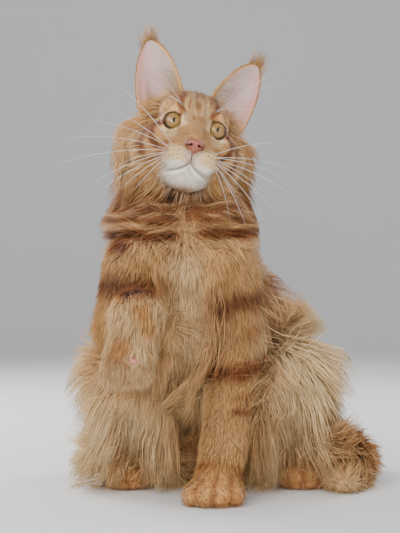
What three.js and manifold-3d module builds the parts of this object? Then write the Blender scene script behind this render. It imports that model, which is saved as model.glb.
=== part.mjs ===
// A red tabby Maine Coon cat, life size. It sits upright on its haunches and its left foreleg, with the right
// forepaw raised in front of the chest and the tail laid round its left haunch.
//
// Millimetres, +Z up. The cat faces -Y, and its left side is +X. Each sub-part is a faceted solid: a core
// that holds the flesh and at most half of the coat, with the long coat over it as flat tapered locks.
import * as THREE from "three";
import { mergeVertices } from "three/addons/utils/BufferGeometryUtils.js";
import Module from "manifold-3d";

const wasm = await Module();
wasm.setup();

// Driving dimensions.
const LEFT = 1; // the cat's own left, at +X
const RIGHT = -1;
const EYE_SPACING = 44.6; // between the centres of the eyeballs
const EYE_RADIUS = 10.6;
const RUMP_WIDTH = 44; // the strip of the back that shows between the haunches
const EYE_WIDTH = 18.4; // of the opening between the lids
const EYE_HEIGHT = 16.4;
const LID_THICKNESS = 1.8;
const GAP = 0.35; // between sub-parts that meet
const FLOOR_CLEAR = 4; // a lock's middle line stays this high above the floor
const HEAD_YAW = 9; // degrees, towards the cat's left
const HEAD_PITCH = 4; // degrees, nose up
const HEAD_ROLL = 12; // degrees, left ear down
const SINK = 6; // how deep a lock's root lies in its core
const LOCK_STEPS = 3; // stretches along a lock
const LOCK_OVERLAP = 1.7; // a lock's length over the distance between two tiers
const COVERED = 0.7; // a root this deep under another mass is left out
const SPILL = 1.5; // a lock whose middle lies this far off its own mass, over another one, is left out
const FINEST = 0.03; // nothing smaller than this is kept where pieces are joined or cut
const TOUCHING = 0.01; // corners nearer than this touch
const FOLD_GAP = 0.03; // how far each of them is then drawn in
const SEED = 20461;

const at = (x, y, z) => new THREE.Vector3(x, y, z);
const UP = at(0, 0, 1);
const DOWN = at(0, 0, -1);
const BACK = at(0, 1, 0);
const SIDE = at(1, 0, 0);

// Landmarks of the body, where bones meet under the coat.
const EYES = at(-6, -12, 373); // midway between the eyeballs
const NECK_TOP = at(-9, 42, 328);
const NECK_BASE = at(-17, 44, 268);
const CHEST = at(-15, 42, 236);
const RIBS = at(-4, 84, 168);
const PELVIS = at(13, 146, 74);
const LEG_LEFT = {
  scapula: at(16, 62, 270),
  shoulder: at(31, 16, 236),
  elbow: at(37, 38, 164),
  wrist: at(23, 4, 50),
  knuckles: at(17, -14, 20),
  toes: at(13, -33, 11),
};
const LEG_RIGHT = {
  scapula: at(-46, 60, 268),
  shoulder: at(-62, 12, 236),
  elbow: at(-76, 36, 170),
  wrist: at(-59, -56, 189),
  knuckles: at(-66, -63, 154),
  toes: at(-71, -60, 135),
};
const HIND_LEFT = { hip: at(60, 148, 92), knee: at(86, 80, 120), hock: at(104, 150, 17), toes: at(108, 70, 11) };
const HIND_RIGHT = { hip: at(-32, 148, 90), knee: at(-58, 76, 112), hock: at(-72, 148, 17), toes: at(-76, 68, 11) };
const TAIL = [at(14, 192, 42), at(40, 232, 27), at(96, 240, 26.5), at(142, 206, 26.5), at(162, 152, 24.5),
  at(160, 98, 21.5), at(151, 58, 14)];
const TAIL_RADII = [24, 26, 27, 27, 25, 22, 14];

// How far the core stands over the flesh, and how far the locks' tips stand over the core.
const SHORT_COAT = 6;
const RUFF = { core: 14, lift: 17 };
const FLANK = { core: 14, lift: 22 };
const BREECHES = { core: 16, lift: 30 };
const SLEEVE_LIFT = 10;
const BRUSH_LIFT = 24;

const radians = THREE.MathUtils.degToRad;
const clamp = THREE.MathUtils.clamp;
const lerp = THREE.MathUtils.lerp;

// A small seeded generator, so that the coat is varied and the same each time.
let state = SEED;
function random() {
  state = (state * 16807) % 2147483647;
  return state / 2147483647;
}
const vary = (share) => 1 + (2 * random() - 1) * share;

// Fields: each gives a point's distance outside a mass, less than zero inside it.
const cone = (a, b, r1, r2) => {
  const along = b.clone().sub(a);
  return (p) => {
    const share = clamp(p.clone().sub(a).dot(along) / along.lengthSq(), 0, 1);
    return p.distanceTo(a.clone().addScaledVector(along, share)) - lerp(r1, r2, share);
  };
};

const egg = (centre, radii) => (p) => {
  const q = p.clone().sub(centre);
  const near = q.clone().divide(radii).length();
  const steep = q.clone().divide(radii).divide(radii).length();
  return steep < 1e-9 ? -Math.min(radii.x, radii.y, radii.z) : (near * (near - 1)) / steep;
};

// Masses that run into one another over a width.
const blend = (width, ...masses) => (p) =>
  masses.reduce((low, mass) => {
    const d = mass(p);
    const share = Math.max(width - Math.abs(low - d), 0) / width;
    return Math.min(low, d) - (share * share * width) / 4;
  }, Infinity);

// The way out of a field at a point.
function slope(field, p, step = 0.5) {
  const rise = (x, y, z) => field(at(p.x + x, p.y + y, p.z + z)) - field(at(p.x - x, p.y - y, p.z - z));
  return at(rise(step, 0, 0), rise(0, step, 0), rise(0, 0, step)).normalize();
}

// The point on a ray out of a mass where the field reaches a level.
function reach(field, from, way, level = 0, most = 220) {
  const value = (t) => field(from.clone().addScaledVector(way, t)) - level;
  let low = 0;
  let high = 0;
  while (high < most && value(high) < 0) {
    low = high;
    high += 3;
  }
  for (let i = 0; i < 14; i++) {
    const middle = (low + high) / 2;
    if (value(middle) < 0) low = middle;
    else high = middle;
  }
  return from.clone().addScaledVector(way, high);
}

// A closed geometry as a solid that can be joined and cut.
function solid(geometry) {
  const bare = geometry.clone();
  bare.deleteAttribute("normal");
  bare.deleteAttribute("uv");
  const merged = mergeVertices(bare, 1e-4);
  return new wasm.Manifold(
    new wasm.Mesh({
      numProp: 3,
      vertProperties: merged.attributes.position.array,
      triVerts: new Uint32Array(merged.index.array),
    }),
  );
}

const joined = (solids) => wasm.Manifold.union(solids);

// The largest closed surface of a solid: a scrap that a cut has freed goes, and a sealed hollow is filled.
function largest(whole) {
  const { vertProperties, triVerts } = whole.getMesh();
  const owner = Int32Array.from({ length: vertProperties.length / 3 }, (_, i) => i);
  const find = (i) => {
    while (owner[i] !== i) i = owner[i] = owner[owner[i]];
    return i;
  };
  for (let t = 0; t < triVerts.length; t += 3)
    for (const k of [1, 2]) owner[find(triVerts[t + k])] = find(triVerts[t]);
  const corner = (i) => at(...vertProperties.subarray(3 * i, 3 * i + 3));
  const surfaces = new Map();
  for (let t = 0; t < triVerts.length; t += 3) {
    const key = find(triVerts[t]);
    if (!surfaces.has(key)) surfaces.set(key, { faces: [], volume: 0 });
    const [a, b, c] = triVerts.subarray(t, t + 3);
    surfaces.get(key).faces.push(a, b, c);
    surfaces.get(key).volume += corner(a).dot(corner(b).cross(corner(c)));
  }
  const { faces } = [...surfaces.values()].reduce((a, b) => (a.volume > b.volume ? a : b));
  const geometry = new THREE.BufferGeometry();
  const used = [...new Set(faces)];
  const number = new Map(used.map((old, i) => [old, i]));
  const places = used.flatMap((i) => corner(i).toArray());
  geometry.setAttribute("position", new THREE.Float32BufferAttribute(places, 3));
  geometry.setIndex(faces.map((i) => number.get(i)));
  return partFolds(geometry);
}

// Corners of one surface that lie at the same spot, where two of its folds touch, are each drawn in a little.
function partFolds(geometry) {
  geometry.computeVertexNormals();
  const { position, normal } = geometry.attributes;
  const corners = Array.from({ length: position.count }, (_, i) => ({
    i,
    spot: at(0, 0, 0).fromBufferAttribute(position, i),
    out: at(0, 0, 0).fromBufferAttribute(normal, i),
  })).sort((a, b) => a.spot.x - b.spot.x);
  const touching = new Set();
  corners.forEach((a, k) => {
    for (let j = k + 1; j < corners.length && corners[j].spot.x - a.spot.x < TOUCHING; j++)
      if (corners[j].spot.distanceTo(a.spot) < TOUCHING) touching.add(a).add(corners[j]);
  });
  for (const { i, spot, out } of touching) {
    spot.addScaledVector(out, -FOLD_GAP);
    position.setXYZ(i, spot.x, spot.y, spot.z);
  }
  return geometry;
}

// What lies on the side of a plane that its normal points to.
const beyond = (whole, point, normal) => whole.trimByPlane(normal.toArray(), normal.dot(point));

// Two sides of a thin cut across a part.
const above = (whole, point, normal) => beyond(whole, point.clone().addScaledVector(normal, GAP / 2), normal);
const below = (whole, point, normal) => above(whole, point, normal.clone().negate());

// The level at which the cat stands is cut flat.
const onFloor = (whole) => beyond(whole, at(0, 0, 0), UP);

// A ball drawn out along an axis and laid on a field, so that it has the mass's own shape and round ends.
function wrapped(axis, field, { sides, rings, level = 0, side = SIDE, dome = 0.2 }) {
  const line = axis.length > 2 ? new THREE.CatmullRomCurve3(axis) : new THREE.LineCurve3(...axis);
  const ball = new THREE.SphereGeometry(1, sides, rings);
  const { position, uv } = ball.attributes;
  for (let i = 0; i < position.count; i++) {
    const column = Math.round(uv.getX(i) * sides) % sides;
    const share = 1 - uv.getY(i);
    const turn = (column / sides) * 2 * Math.PI;
    const middle = clamp((share - dome) / (1 - 2 * dome), 0, 1);
    const tangent = line.getTangentAt(middle);
    const across = side.clone().addScaledVector(tangent, -side.dot(tangent)).normalize();
    const over = tangent.clone().cross(across);
    const past = share < dome ? share / dome - 1 : share > 1 - dome ? (share - 1) / dome + 1 : 0;
    const tilt = (past * Math.PI) / 2;
    const pole = Math.abs(past) > 0.999;
    const way = tangent.clone().multiplyScalar(Math.sin(tilt));
    if (!pole) {
      way.addScaledVector(across, -Math.cos(tilt) * Math.cos(turn));
      way.addScaledVector(over, Math.cos(tilt) * Math.sin(turn));
    }
    const spot = reach(field, line.getPointAt(middle), way, level);
    position.setXYZ(i, spot.x, spot.y, spot.z);
  }
  return solid(ball);
}

// A thin closed plate: place(u, v, face) puts its points, and both faces are split alike.
function plate(columns, rows, place) {
  const points = [];
  const index = [];
  const number = (face, i, j) => (face * (rows + 1) + j) * (columns + 1) + i;
  for (const face of [0, 1])
    for (let j = 0; j <= rows; j++)
      for (let i = 0; i <= columns; i++) points.push(...place((2 * i) / columns - 1, j / rows, face).toArray());
  const quad = (a, b, c, d) => index.push(a, b, c, a, c, d);
  for (let j = 0; j < rows; j++)
    for (let i = 0; i < columns; i++) {
      const [a, b, c, d] = [number(0, i, j), number(0, i + 1, j), number(0, i + 1, j + 1), number(0, i, j + 1)];
      const far = (rows + 1) * (columns + 1);
      index.push(a, b, c, a, c, d);
      index.push(a + far, c + far, b + far, a + far, d + far, c + far);
    }
  for (let j = 0; j < rows; j++) {
    quad(number(0, 0, j), number(0, 0, j + 1), number(1, 0, j + 1), number(1, 0, j));
    quad(number(0, columns, j + 1), number(0, columns, j), number(1, columns, j), number(1, columns, j + 1));
  }
  for (let i = 0; i < columns; i++) {
    quad(number(0, i + 1, 0), number(0, i, 0), number(1, i, 0), number(1, i + 1, 0));
    quad(number(0, i, rows), number(0, i + 1, rows), number(1, i + 1, rows), number(1, i, rows));
  }
  const geometry = new THREE.BufferGeometry();
  geometry.setAttribute("position", new THREE.Float32BufferAttribute(points, 3));
  geometry.setIndex(index);
  const made = solid(geometry);
  if (made.volume() > 0) return made;
  for (let i = 0; i < index.length; i += 3) [index[i + 1], index[i + 2]] = [index[i + 2], index[i + 1]];
  geometry.setIndex(index);
  return solid(geometry);
}

// A hair form and the room round it: the room is the same form, larger by the gap on every side.
const withRoom = (make) => ({ hair: make(0), room: make(GAP) });

// A lock of hair: a three-sided cone, flattened and bent along a line of { spot, out } stations.
const LOCK_WIDTHS = [0.8, 1, 0.8, 0];
const TIP_ROOM = 6; // the room's tip stands out by this many gaps, because a tip is narrow
function lock(line, width, thickness) {
  const half = (width / 2) * Math.sin(Math.PI / 3);
  const height = 1.5 * thickness;
  const inner = (half * height) / (half + Math.hypot(half, height));
  return withRoom((gap) => {
    const hair = new THREE.ConeGeometry(1, 1, 3, LOCK_STEPS);
    const { position } = hair.attributes;
    const swell = 1 + (1.3 * gap) / inner;
    for (let i = 0; i < position.count; i++) {
      const station = Math.round((position.getY(i) + 0.5) * LOCK_STEPS);
      const turn = Math.atan2(position.getX(i), position.getZ(i));
      const rim = station < LOCK_STEPS && Math.hypot(position.getX(i), position.getZ(i)) > 1e-6;
      const { spot, out } = line[station];
      const next = line[Math.min(station + 1, LOCK_STEPS)].spot;
      const last = line[Math.max(station - 1, 0)].spot;
      const along = next.clone().sub(last).normalize();
      const across = along.clone().cross(out).normalize();
      const over = across.clone().cross(along);
      const point = spot.clone();
      if (rim) {
        point.addScaledVector(across, swell * (width / 2) * LOCK_WIDTHS[station] * Math.sin(turn));
        point.addScaledVector(over, swell * thickness * Math.cos(turn));
      }
      if (station === LOCK_STEPS) point.addScaledVector(along, TIP_ROOM * gap);
      position.setXYZ(i, point.x, point.y, point.z);
    }
    return solid(hair);
  });
}

// The stations of a lock whose line is worked out from its share of the length.
const stations = (place) => Array.from({ length: LOCK_STEPS + 1 }, (_, i) => place(i / LOCK_STEPS));

// The line of a lock that is combed over the body: it leaves its root along the lie and rises to its lift.
function comb(body, root, lie, length, lift) {
  const line = [];
  const spot = root.clone();
  for (let i = 0; i <= LOCK_STEPS; i++) {
    const share = i / LOCK_STEPS;
    const height = lerp(-SINK, lift, Math.pow(share, 0.75));
    for (let k = 0; k < 3; k++) spot.addScaledVector(slope(body, spot), height - body(spot));
    spot.z = Math.max(spot.z, FLOOR_CLEAR + (1 - share) * SINK);
    const out = slope(body, spot);
    line.push({ spot: spot.clone(), out });
    const way = lie(spot, out);
    way.addScaledVector(out, -way.dot(out)).normalize();
    spot.addScaledVector(way, length / LOCK_STEPS);
  }
  return line;
}

// The head's own frame: its origin is midway between the eyes, -Y is forward and +X is the cat's left.
const HEAD = new THREE.Matrix4().compose(
  EYES,
  new THREE.Quaternion().setFromEuler(
    new THREE.Euler(radians(-HEAD_PITCH), radians(HEAD_ROLL), radians(HEAD_YAW), "ZXY"),
  ),
  at(1, 1, 1),
);
const HEAD_BACK = HEAD.clone().invert();
const inHead = (x, y, z) => at(x, y, z).applyMatrix4(HEAD);
const headWay = (x, y, z) => at(x, y, z).transformDirection(HEAD);
const headField = (field) => (p) => field(p.clone().applyMatrix4(HEAD_BACK));
const eyeCentre = (side) => at((side * EYE_SPACING) / 2, 0, 0);
const both = (make) => [make(LEFT), make(RIGHT)];

// The skull, cheeks and muzzle, with the short coat of the face.
const FACE = headField(
  blend(
    9,
    egg(at(0, 38, 10), at(42, 46, 34)),
    egg(at(0, 12, -22), at(36, 36, 30)),
    egg(at(0, 9, 12), at(37, 24, 25)),
    ...both((s) => egg(at(s * 33, 22, -23), at(26, 32, 27))),
    ...both((s) => egg(at(s * 27, 2, -15), at(15, 13, 11))),
    cone(at(0, 4, 4), at(0, -27, -17), 16, 10.5),
    ...both((s) => egg(at(s * 14.5, -22, -36), at(16.5, 17, 13))),
    egg(at(0, -10, -54), at(22, 18, 14.5)),
    egg(at(0, 18, -46), at(36, 34, 21)),
    egg(at(0, 42, -32), at(38, 34, 36)),
  ),
);
const NOSE = headField(
  blend(
    3,
    egg(at(0, -37, -22), at(9.5, 6.5, 4.5)),
    ...both((s) => egg(at(s * 5.5, -37, -25.5), at(5, 5.5, 4.5))),
    cone(at(0, -38, -25), at(0, -37.5, -32), 4.2, 2.6),
  ),
);

// Fields of the trunk and limbs, each with its share of the coat.
const NECK_FIELD = cone(NECK_BASE, NECK_TOP, 44 + RUFF.core, 35 + RUFF.core);
const TORSO_FIELD = blend(
  24,
  cone(CHEST, RIBS, 50 + FLANK.core, 57 + FLANK.core),
  cone(RIBS, PELVIS, 57 + FLANK.core, 61 + FLANK.core),
);
const upperArm = (leg) => cone(leg.shoulder, leg.elbow, 27 + SHORT_COAT, 24 + SHORT_COAT);
const forearm = (leg) => cone(leg.elbow, leg.wrist, 24 + SHORT_COAT, 16 + SHORT_COAT);
const foreleg = (leg, spread, toeRadius) =>
  blend(10, upperArm(leg), forearm(leg), pawMass(leg, spread, toeRadius));
function pawMass(leg, spread, toeRadius) {
  const toes = [-1.5, -0.5, 0.5, 1.5].map((k) => {
    const shift = at(k * spread, Math.abs(k) * 2.4, 0);
    const tip = leg.toes.clone().add(shift);
    return cone(leg.knuckles.clone().addScaledVector(shift, 0.6), tip, toeRadius, toeRadius);
  });
  return blend(3.5, ...toes, cone(leg.wrist ?? leg.hock, leg.knuckles, 21, toeRadius + 8));
}
const LEG_FIELD_LEFT = foreleg(LEG_LEFT, 14, 11.5);
const LEG_FIELD_RIGHT = foreleg(LEG_RIGHT, 10.5, 10.5);

function hindFoot(hind) {
  const knuckles = hind.toes.clone().add(at(0, 18, 3.6));
  return blend(
    4,
    cone(hind.hock, knuckles, 18, 15),
    ...[-1.5, -0.5, 0.5, 1.5].map((k) => {
      const shift = at(k * 10.5, Math.abs(k) * 2.2, 0);
      return cone(knuckles.clone().addScaledVector(shift, 0.75), hind.toes.clone().add(shift), 11.5, 11.3);
    }),
  );
}
const FOOT_FIELD_LEFT = hindFoot(HIND_LEFT);
const FOOT_FIELD_RIGHT = hindFoot(HIND_RIGHT);
const haunch = (hind) => cone(hind.hip, hind.knee, 46 + BREECHES.core, 31 + BREECHES.core);
const shank = (hind) => cone(hind.knee, hind.hock, 26 + BREECHES.core * 0.6, 23);
const thighField = (hind) => blend(18, haunch(hind), shank(hind));
const THIGH_FIELD_LEFT = thighField(HIND_LEFT);
const THIGH_FIELD_RIGHT = thighField(HIND_RIGHT);
const TAIL_LINE = new THREE.CatmullRomCurve3(TAIL);
const TAIL_FIELD = blend(8, ...TAIL.slice(1).map((b, i) => cone(TAIL[i], b, TAIL_RADII[i], TAIL_RADII[i + 1])));

const BODY = blend(
  8,
  FACE,
  NECK_FIELD,
  TORSO_FIELD,
  LEG_FIELD_LEFT,
  LEG_FIELD_RIGHT,
  THIGH_FIELD_LEFT,
  THIGH_FIELD_RIGHT,
  FOOT_FIELD_LEFT,
  FOOT_FIELD_RIGHT,
  TAIL_FIELD,
);

// The roots of one tier of locks: points round a mass, evenly spaced along its outline in the plane that the
// tier's axis crosses, and only where nothing else covers them.
const RAYS = 48;
function tier(field, centre, axis, spacing, { phase = 0, side = SIDE, keep = () => true }) {
  const across = side.clone().addScaledVector(axis, -side.dot(axis)).normalize();
  const over = axis.clone().cross(across);
  const outline = Array.from({ length: RAYS + 1 }, (_, k) => {
    const turn = (k / RAYS) * 2 * Math.PI;
    const way = across.clone().multiplyScalar(Math.cos(turn)).addScaledVector(over, Math.sin(turn));
    return reach(field, centre, way);
  });
  const ring = new THREE.CatmullRomCurve3(outline.slice(0, RAYS), true);
  const count = Math.round(ring.getLength() / spacing);
  const found = [];
  for (let k = 0; k < count; k++) {
    const share = (k + phase + 0.2 * (random() - 0.5)) / count;
    const spot = ring.getPointAt(((share % 1) + 1) % 1);
    const out = slope(field, spot);
    spot.addScaledVector(out, -field(spot));
    if (BODY(spot) > -COVERED && spot.z > 2 * FLOOR_CLEAR && keep(spot, out)) found.push({ spot, out });
  }
  return found;
}

// Level tiers down a mass whose middle line gives the centre at each height.
function levelTiers(field, centreAt, { top, bottom, step, spacing, keep }) {
  const tiers = Math.round((top - bottom) / step);
  return Array.from({ length: tiers + 1 }, (_, k) => {
    const z = lerp(top, bottom, k / tiers);
    return tier(field, centreAt(z), UP, spacing, { phase: k / 2, keep });
  }).flat();
}

// Tiers along a line, each square to it.
function tiersAlong(field, line, { from, to, step, spacing, side, keep }) {
  const tiers = Math.max(1, Math.round((line.getLength() * (to - from)) / step));
  return Array.from({ length: tiers + 1 }, (_, k) => {
    const share = lerp(from, to, k / tiers);
    return tier(field, line.getPointAt(share), line.getTangentAt(share), spacing, { phase: k / 2, side, keep });
  }).flat();
}

// Locks on a set of roots. Where the coat lies level its tiers are further apart, so its locks are longer.
function coat(field, found, lie, { step, width, thickness, lift }) {
  const lines = found.map(({ spot, out }) => {
    const steep = Math.hypot(out.x, out.y);
    const length = (step * LOCK_OVERLAP * vary(0.12)) / clamp(steep, 0.6, 1);
    const lean = (random() - 0.5) * 0.2;
    const swayed = (p, n) => {
      const way = lie(p, n);
      return way.addScaledVector(way.clone().cross(n), lean);
    };
    return comb(BODY, spot, swayed, length, lift * vary(0.12));
  });
  const onOwn = ({ spot }) => field(spot) - BODY(spot) < SPILL;
  return lines.filter((line) => onOwn(line[2])).map((line) => lock(line, width * vary(0.08), thickness));
}

// The room that a sub-part takes with the gap round it: each corner is moved out far enough that the faces
// which meet there all stand off by the gap.
const SHARPEST = 0.35;
function roomOf(core) {
  const geometry = largest(core);
  const { position } = geometry.attributes;
  const index = geometry.index.array;
  const corner = (i) => at(0, 0, 0).fromBufferAttribute(position, i);
  const faces = Array.from({ length: position.count }, () => []);
  for (let t = 0; t < index.length; t += 3) {
    const [a, b, c] = [...index.slice(t, t + 3)].map(corner);
    const normal = b.clone().sub(a).cross(c.clone().sub(a)).normalize();
    for (const k of [0, 1, 2]) if (normal.lengthSq() > 0.5) faces[index[t + k]].push(normal);
  }
  const grown = geometry.clone();
  faces.forEach((normals, i) => {
    const out = normals.reduce((sum, n) => sum.add(n), at(0, 0, 0)).normalize();
    const least = Math.min(...normals.map((n) => n.dot(out)));
    const spot = corner(i).addScaledVector(out, GAP / Math.max(least, SHARPEST));
    grown.attributes.position.setXYZ(i, spot.x, spot.y, spot.z);
  });
  return solid(grown).add(core);
}

// The sub-parts, from the first, which keep their whole shape, to the last, which give way to them.
const made = new Map();
const rooms = new Map();
function keepPart(name, core, locks, clearOf) {
  let body = joined([core, ...locks.map(({ hair }) => hair)]);
  if (clearOf.length) body = body.subtract(joined(clearOf.map((other) => rooms.get(other))));
  made.set(name, largest(onFloor(body).simplify(FINEST)));
  const room = joined([solid(made.get(name)), roomOf(core), ...locks.map((one) => one.room)]);
  rooms.set(name, solid(largest(room)));
}

// Each eyeball, with the cornea's bulge in front.
function makeEyes() {
  for (const [name, side] of [["eye_left", LEFT], ["eye_right", RIGHT]]) {
    const centre = eyeCentre(side);
    const ball = egg(centre, at(1, 1, 1).multiplyScalar(EYE_RADIUS));
    const cornea = egg(centre.clone().add(at(0, -3.6, 0)), at(1, 1, 1).multiplyScalar(EYE_RADIUS - 2.8));
    const axis = [inHead(centre.x, 1, 0), inHead(centre.x, -1, 0)];
    const field = headField(blend(1.5, ball, cornea));
    keepPart(name, wrapped(axis, field, { sides: 14, rings: 10, side: UP, dome: 0.45 }), [], []);
  }
}

// The nose leather, a wedge with two comma-shaped nostrils.
function makeNose() {
  const wedge = wrapped([inHead(0, -35, -23), inHead(0, -36, -28)], NOSE, { sides: 16, rings: 10, dome: 0.3 });
  const nostrils = both((s) => {
    const line = [inHead(s * 3.6, -46, -25.5), inHead(s * 4.6, -38, -25.2)];
    return wrapped(line, cone(...line, 1.5, 1.2), { sides: 6, rings: 5 });
  });
  keepPart("nose", wedge.subtract(joined(nostrils)), [], []);
}

// The mouth: a groove down from the nose, which parts to both corners under the whisker pads.
function mouthGroove() {
  const groove = (points, width) => {
    const onFace = points.map((p) => {
      const spot = inHead(...p);
      for (let k = 0; k < 4; k++) spot.addScaledVector(slope(FACE, spot), -FACE(spot));
      return spot;
    });
    const line = new THREE.CatmullRomCurve3(onFace);
    const ring = new THREE.Shape().absarc(0, 0, width, 0, 2 * Math.PI);
    const shape = { curveSegments: 3, steps: 8, bevelEnabled: false, extrudePath: line };
    return solid(new THREE.ExtrudeGeometry(ring, shape));
  };
  const lip = (s) => groove([[0, -40, -40.5], [s * 8, -37, -44], [s * 16, -30, -48], [s * 23, -18, -50]], 1.1);
  return joined([groove([[0, -40, -33], [0, -41, -37], [0, -40, -41.5]], 0.9), lip(LEFT), lip(RIGHT)]);
}

// Lids: a rounded rim round each eye, with an opening in the shape of the eye through it and the face.
function eyelid(side) {
  const centre = eyeCentre(side);
  const rim = headField(egg(centre, at(1, 1, 1).multiplyScalar(EYE_RADIUS + LID_THICKNESS)));
  const axis = [inHead(centre.x, 2, 0), inHead(centre.x, -2, 0)];
  return wrapped(axis, rim, { sides: 14, rings: 10, side: UP, dome: 0.4 });
}

function eyeOpening(side) {
  const { x } = eyeCentre(side);
  const slit = headField(egg(at(x * 1.03, -13, 0.3), at(EYE_WIDTH / 2, 16, EYE_HEIGHT / 2)));
  return wrapped([inHead(x, -4, 0), inHead(x * 1.06, -22, 0)], slit, { sides: 14, rings: 8, side: UP });
}

// The long whiskers of a pad, fanned from up and back to down.
const WHISKERS = { count: 4, length: 105, radius: 0.6, highest: 36, lowest: -48, droop: 24 };
function whiskers(side) {
  const longest = side === RIGHT ? 1.25 : 1;
  return Array.from({ length: WHISKERS.count }, (_, k) => {
    const fan = k / (WHISKERS.count - 1);
    const root = inHead(side * (20 + 4 * (k % 2)), -26 + 5 * (k % 2), -29 - 12 * fan);
    for (let i = 0; i < 4; i++) root.addScaledVector(slope(FACE, root), -FACE(root) - 3);
    const lift = radians(lerp(WHISKERS.highest, WHISKERS.lowest, fan));
    const way = headWay(side * Math.cos(lift), lerp(-0.25, -0.1, fan), Math.sin(lift));
    const length = WHISKERS.length * lerp(longest, 0.72, Math.abs(fan - 0.4));
    const line = stations((share) => {
      const spot = root.clone().addScaledVector(way, length * share);
      spot.z -= WHISKERS.droop * share * share * (0.4 + fan);
      return { spot, out: headWay(0, -1, 0) };
    });
    return spine(line, WHISKERS.radius);
  });
}

// A fine round spine along a line, a little thinner towards its tip.
function spine(line, radius) {
  return withRoom((gap) => {
    const hair = new THREE.ConeGeometry(1, 1, 3, LOCK_STEPS);
    const { position } = hair.attributes;
    for (let i = 0; i < position.count; i++) {
      const station = Math.round((position.getY(i) + 0.5) * LOCK_STEPS);
      const turn = Math.atan2(position.getX(i), position.getZ(i));
      const inner = station < LOCK_STEPS && Math.hypot(position.getX(i), position.getZ(i)) > 1e-6;
      const along = line[LOCK_STEPS].spot.clone().sub(line[0].spot).normalize();
      const across = along.clone().cross(line[station].out).normalize();
      const over = across.clone().cross(along);
      const thick = inner ? (radius + 2 * gap) * (1 - 0.45 * (station / LOCK_STEPS)) : 0;
      const point = line[station].spot
        .clone()
        .addScaledVector(across, thick * Math.sin(turn))
        .addScaledVector(over, thick * Math.cos(turn));
      if (station === LOCK_STEPS) point.addScaledVector(along, TIP_ROOM * gap);
      position.setXYZ(i, point.x, point.y, point.z);
    }
    return solid(hair);
  });
}

const HEAD_AXIS = [inHead(0, 52, -6), inHead(0, 26, -12), inHead(0, -2, -22), inHead(0, -18, -32)];

// The roots of the ruff that stands out behind each cheek, in two rows from below the ear to the jaw.
function cheekRoots(side) {
  const found = [];
  for (const row of [0, 1])
    for (let k = 0; k < 3; k++) {
      const spot = inHead(side * (52 - 3 * row), 26 + 15 * row, 0 - 20 * k - 9 * row);
      for (let i = 0; i < 5; i++) spot.addScaledVector(slope(FACE, spot), -FACE(spot));
      found.push({ spot, out: headWay(side, 0, 0) });
    }
  return found;
}

// The head, with its lids, mouth, whiskers and ruff.
function makeHead() {
  const skull = wrapped(HEAD_AXIS, FACE, { sides: 28, rings: 26, dome: 0.24 });
  const ruffHair = { step: 17, width: 24, thickness: 3.2, lift: 11 };
  const ruff = both((side) => coat(FACE, cheekRoots(side), () => headWay(side * 1.1, 0.9, -1), ruffHair));
  const core = joined([skull, ...both(eyelid)]).subtract(joined([mouthGroove(), ...both(eyeOpening)]));
  keepPart("head", core, [...ruff.flat(), ...both(whiskers).flat()], ["eye_left", "eye_right", "nose"]);
}

// An ear: a thin cup that narrows to a round tip, with a tuft of long hair on it.
const EAR = {
  inner: [17, 32, 43],
  outer: [55, 45, 17],
  tip: [58, 46, 87],
  root: 0.28, // how far the cup goes on below its base, as a share of its height
  cup: 17,
  thickness: 3.4,
  columns: 8,
  rows: 8,
  tuft: 23,
};
function makeEar(name, side) {
  const inner = at(...EAR.inner);
  const outer = at(...EAR.outer);
  const base = inner.clone().lerp(outer, 0.5);
  const rise = at(...EAR.tip).sub(base);
  const across = outer.clone().sub(inner).multiplyScalar(0.5);
  const facing = across.clone().cross(rise).normalize();
  const away = facing.y > 0 ? facing : facing.negate();
  const cupPoint = (u, share, face) => {
    const v = lerp(-EAR.root, 1, share);
    const width = v < 0 ? 1 : Math.max(Math.pow(1 - v * v, 0.62), 0.1);
    const depth = EAR.cup * (1 - 0.8 * Math.max(v, 0));
    const thickness = EAR.thickness * (1 - 0.35 * Math.max(Math.abs(u), v));
    const spot = base
      .clone()
      .addScaledVector(rise, v)
      .addScaledVector(across, u * width)
      .addScaledVector(away, depth * (1 - u * u) * width + (face - 0.5) * thickness);
    spot.x *= side;
    return spot.applyMatrix4(HEAD);
  };
  const tufts = [-0.5, -0.1, 0.3].map((u, k) => {
    const root = cupPoint(u, 0.93, 0.5);
    const way = headWay(side * (0.12 + 0.35 * u), 0.1, 1);
    const line = stations((share) => ({
      spot: root
        .clone()
        .addScaledVector(way, EAR.tuft * (k % 2 ? 1 : 0.75) * share)
        .addScaledVector(headWay(side, 0, 0), 5 * share * share * (0.2 + u)),
      out: headWay(0, 1, 0),
    }));
    return lock(line, 5, 1.2);
  });
  keepPart(name, plate(EAR.columns, EAR.rows, cupPoint), tufts, ["head"]);
}

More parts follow.
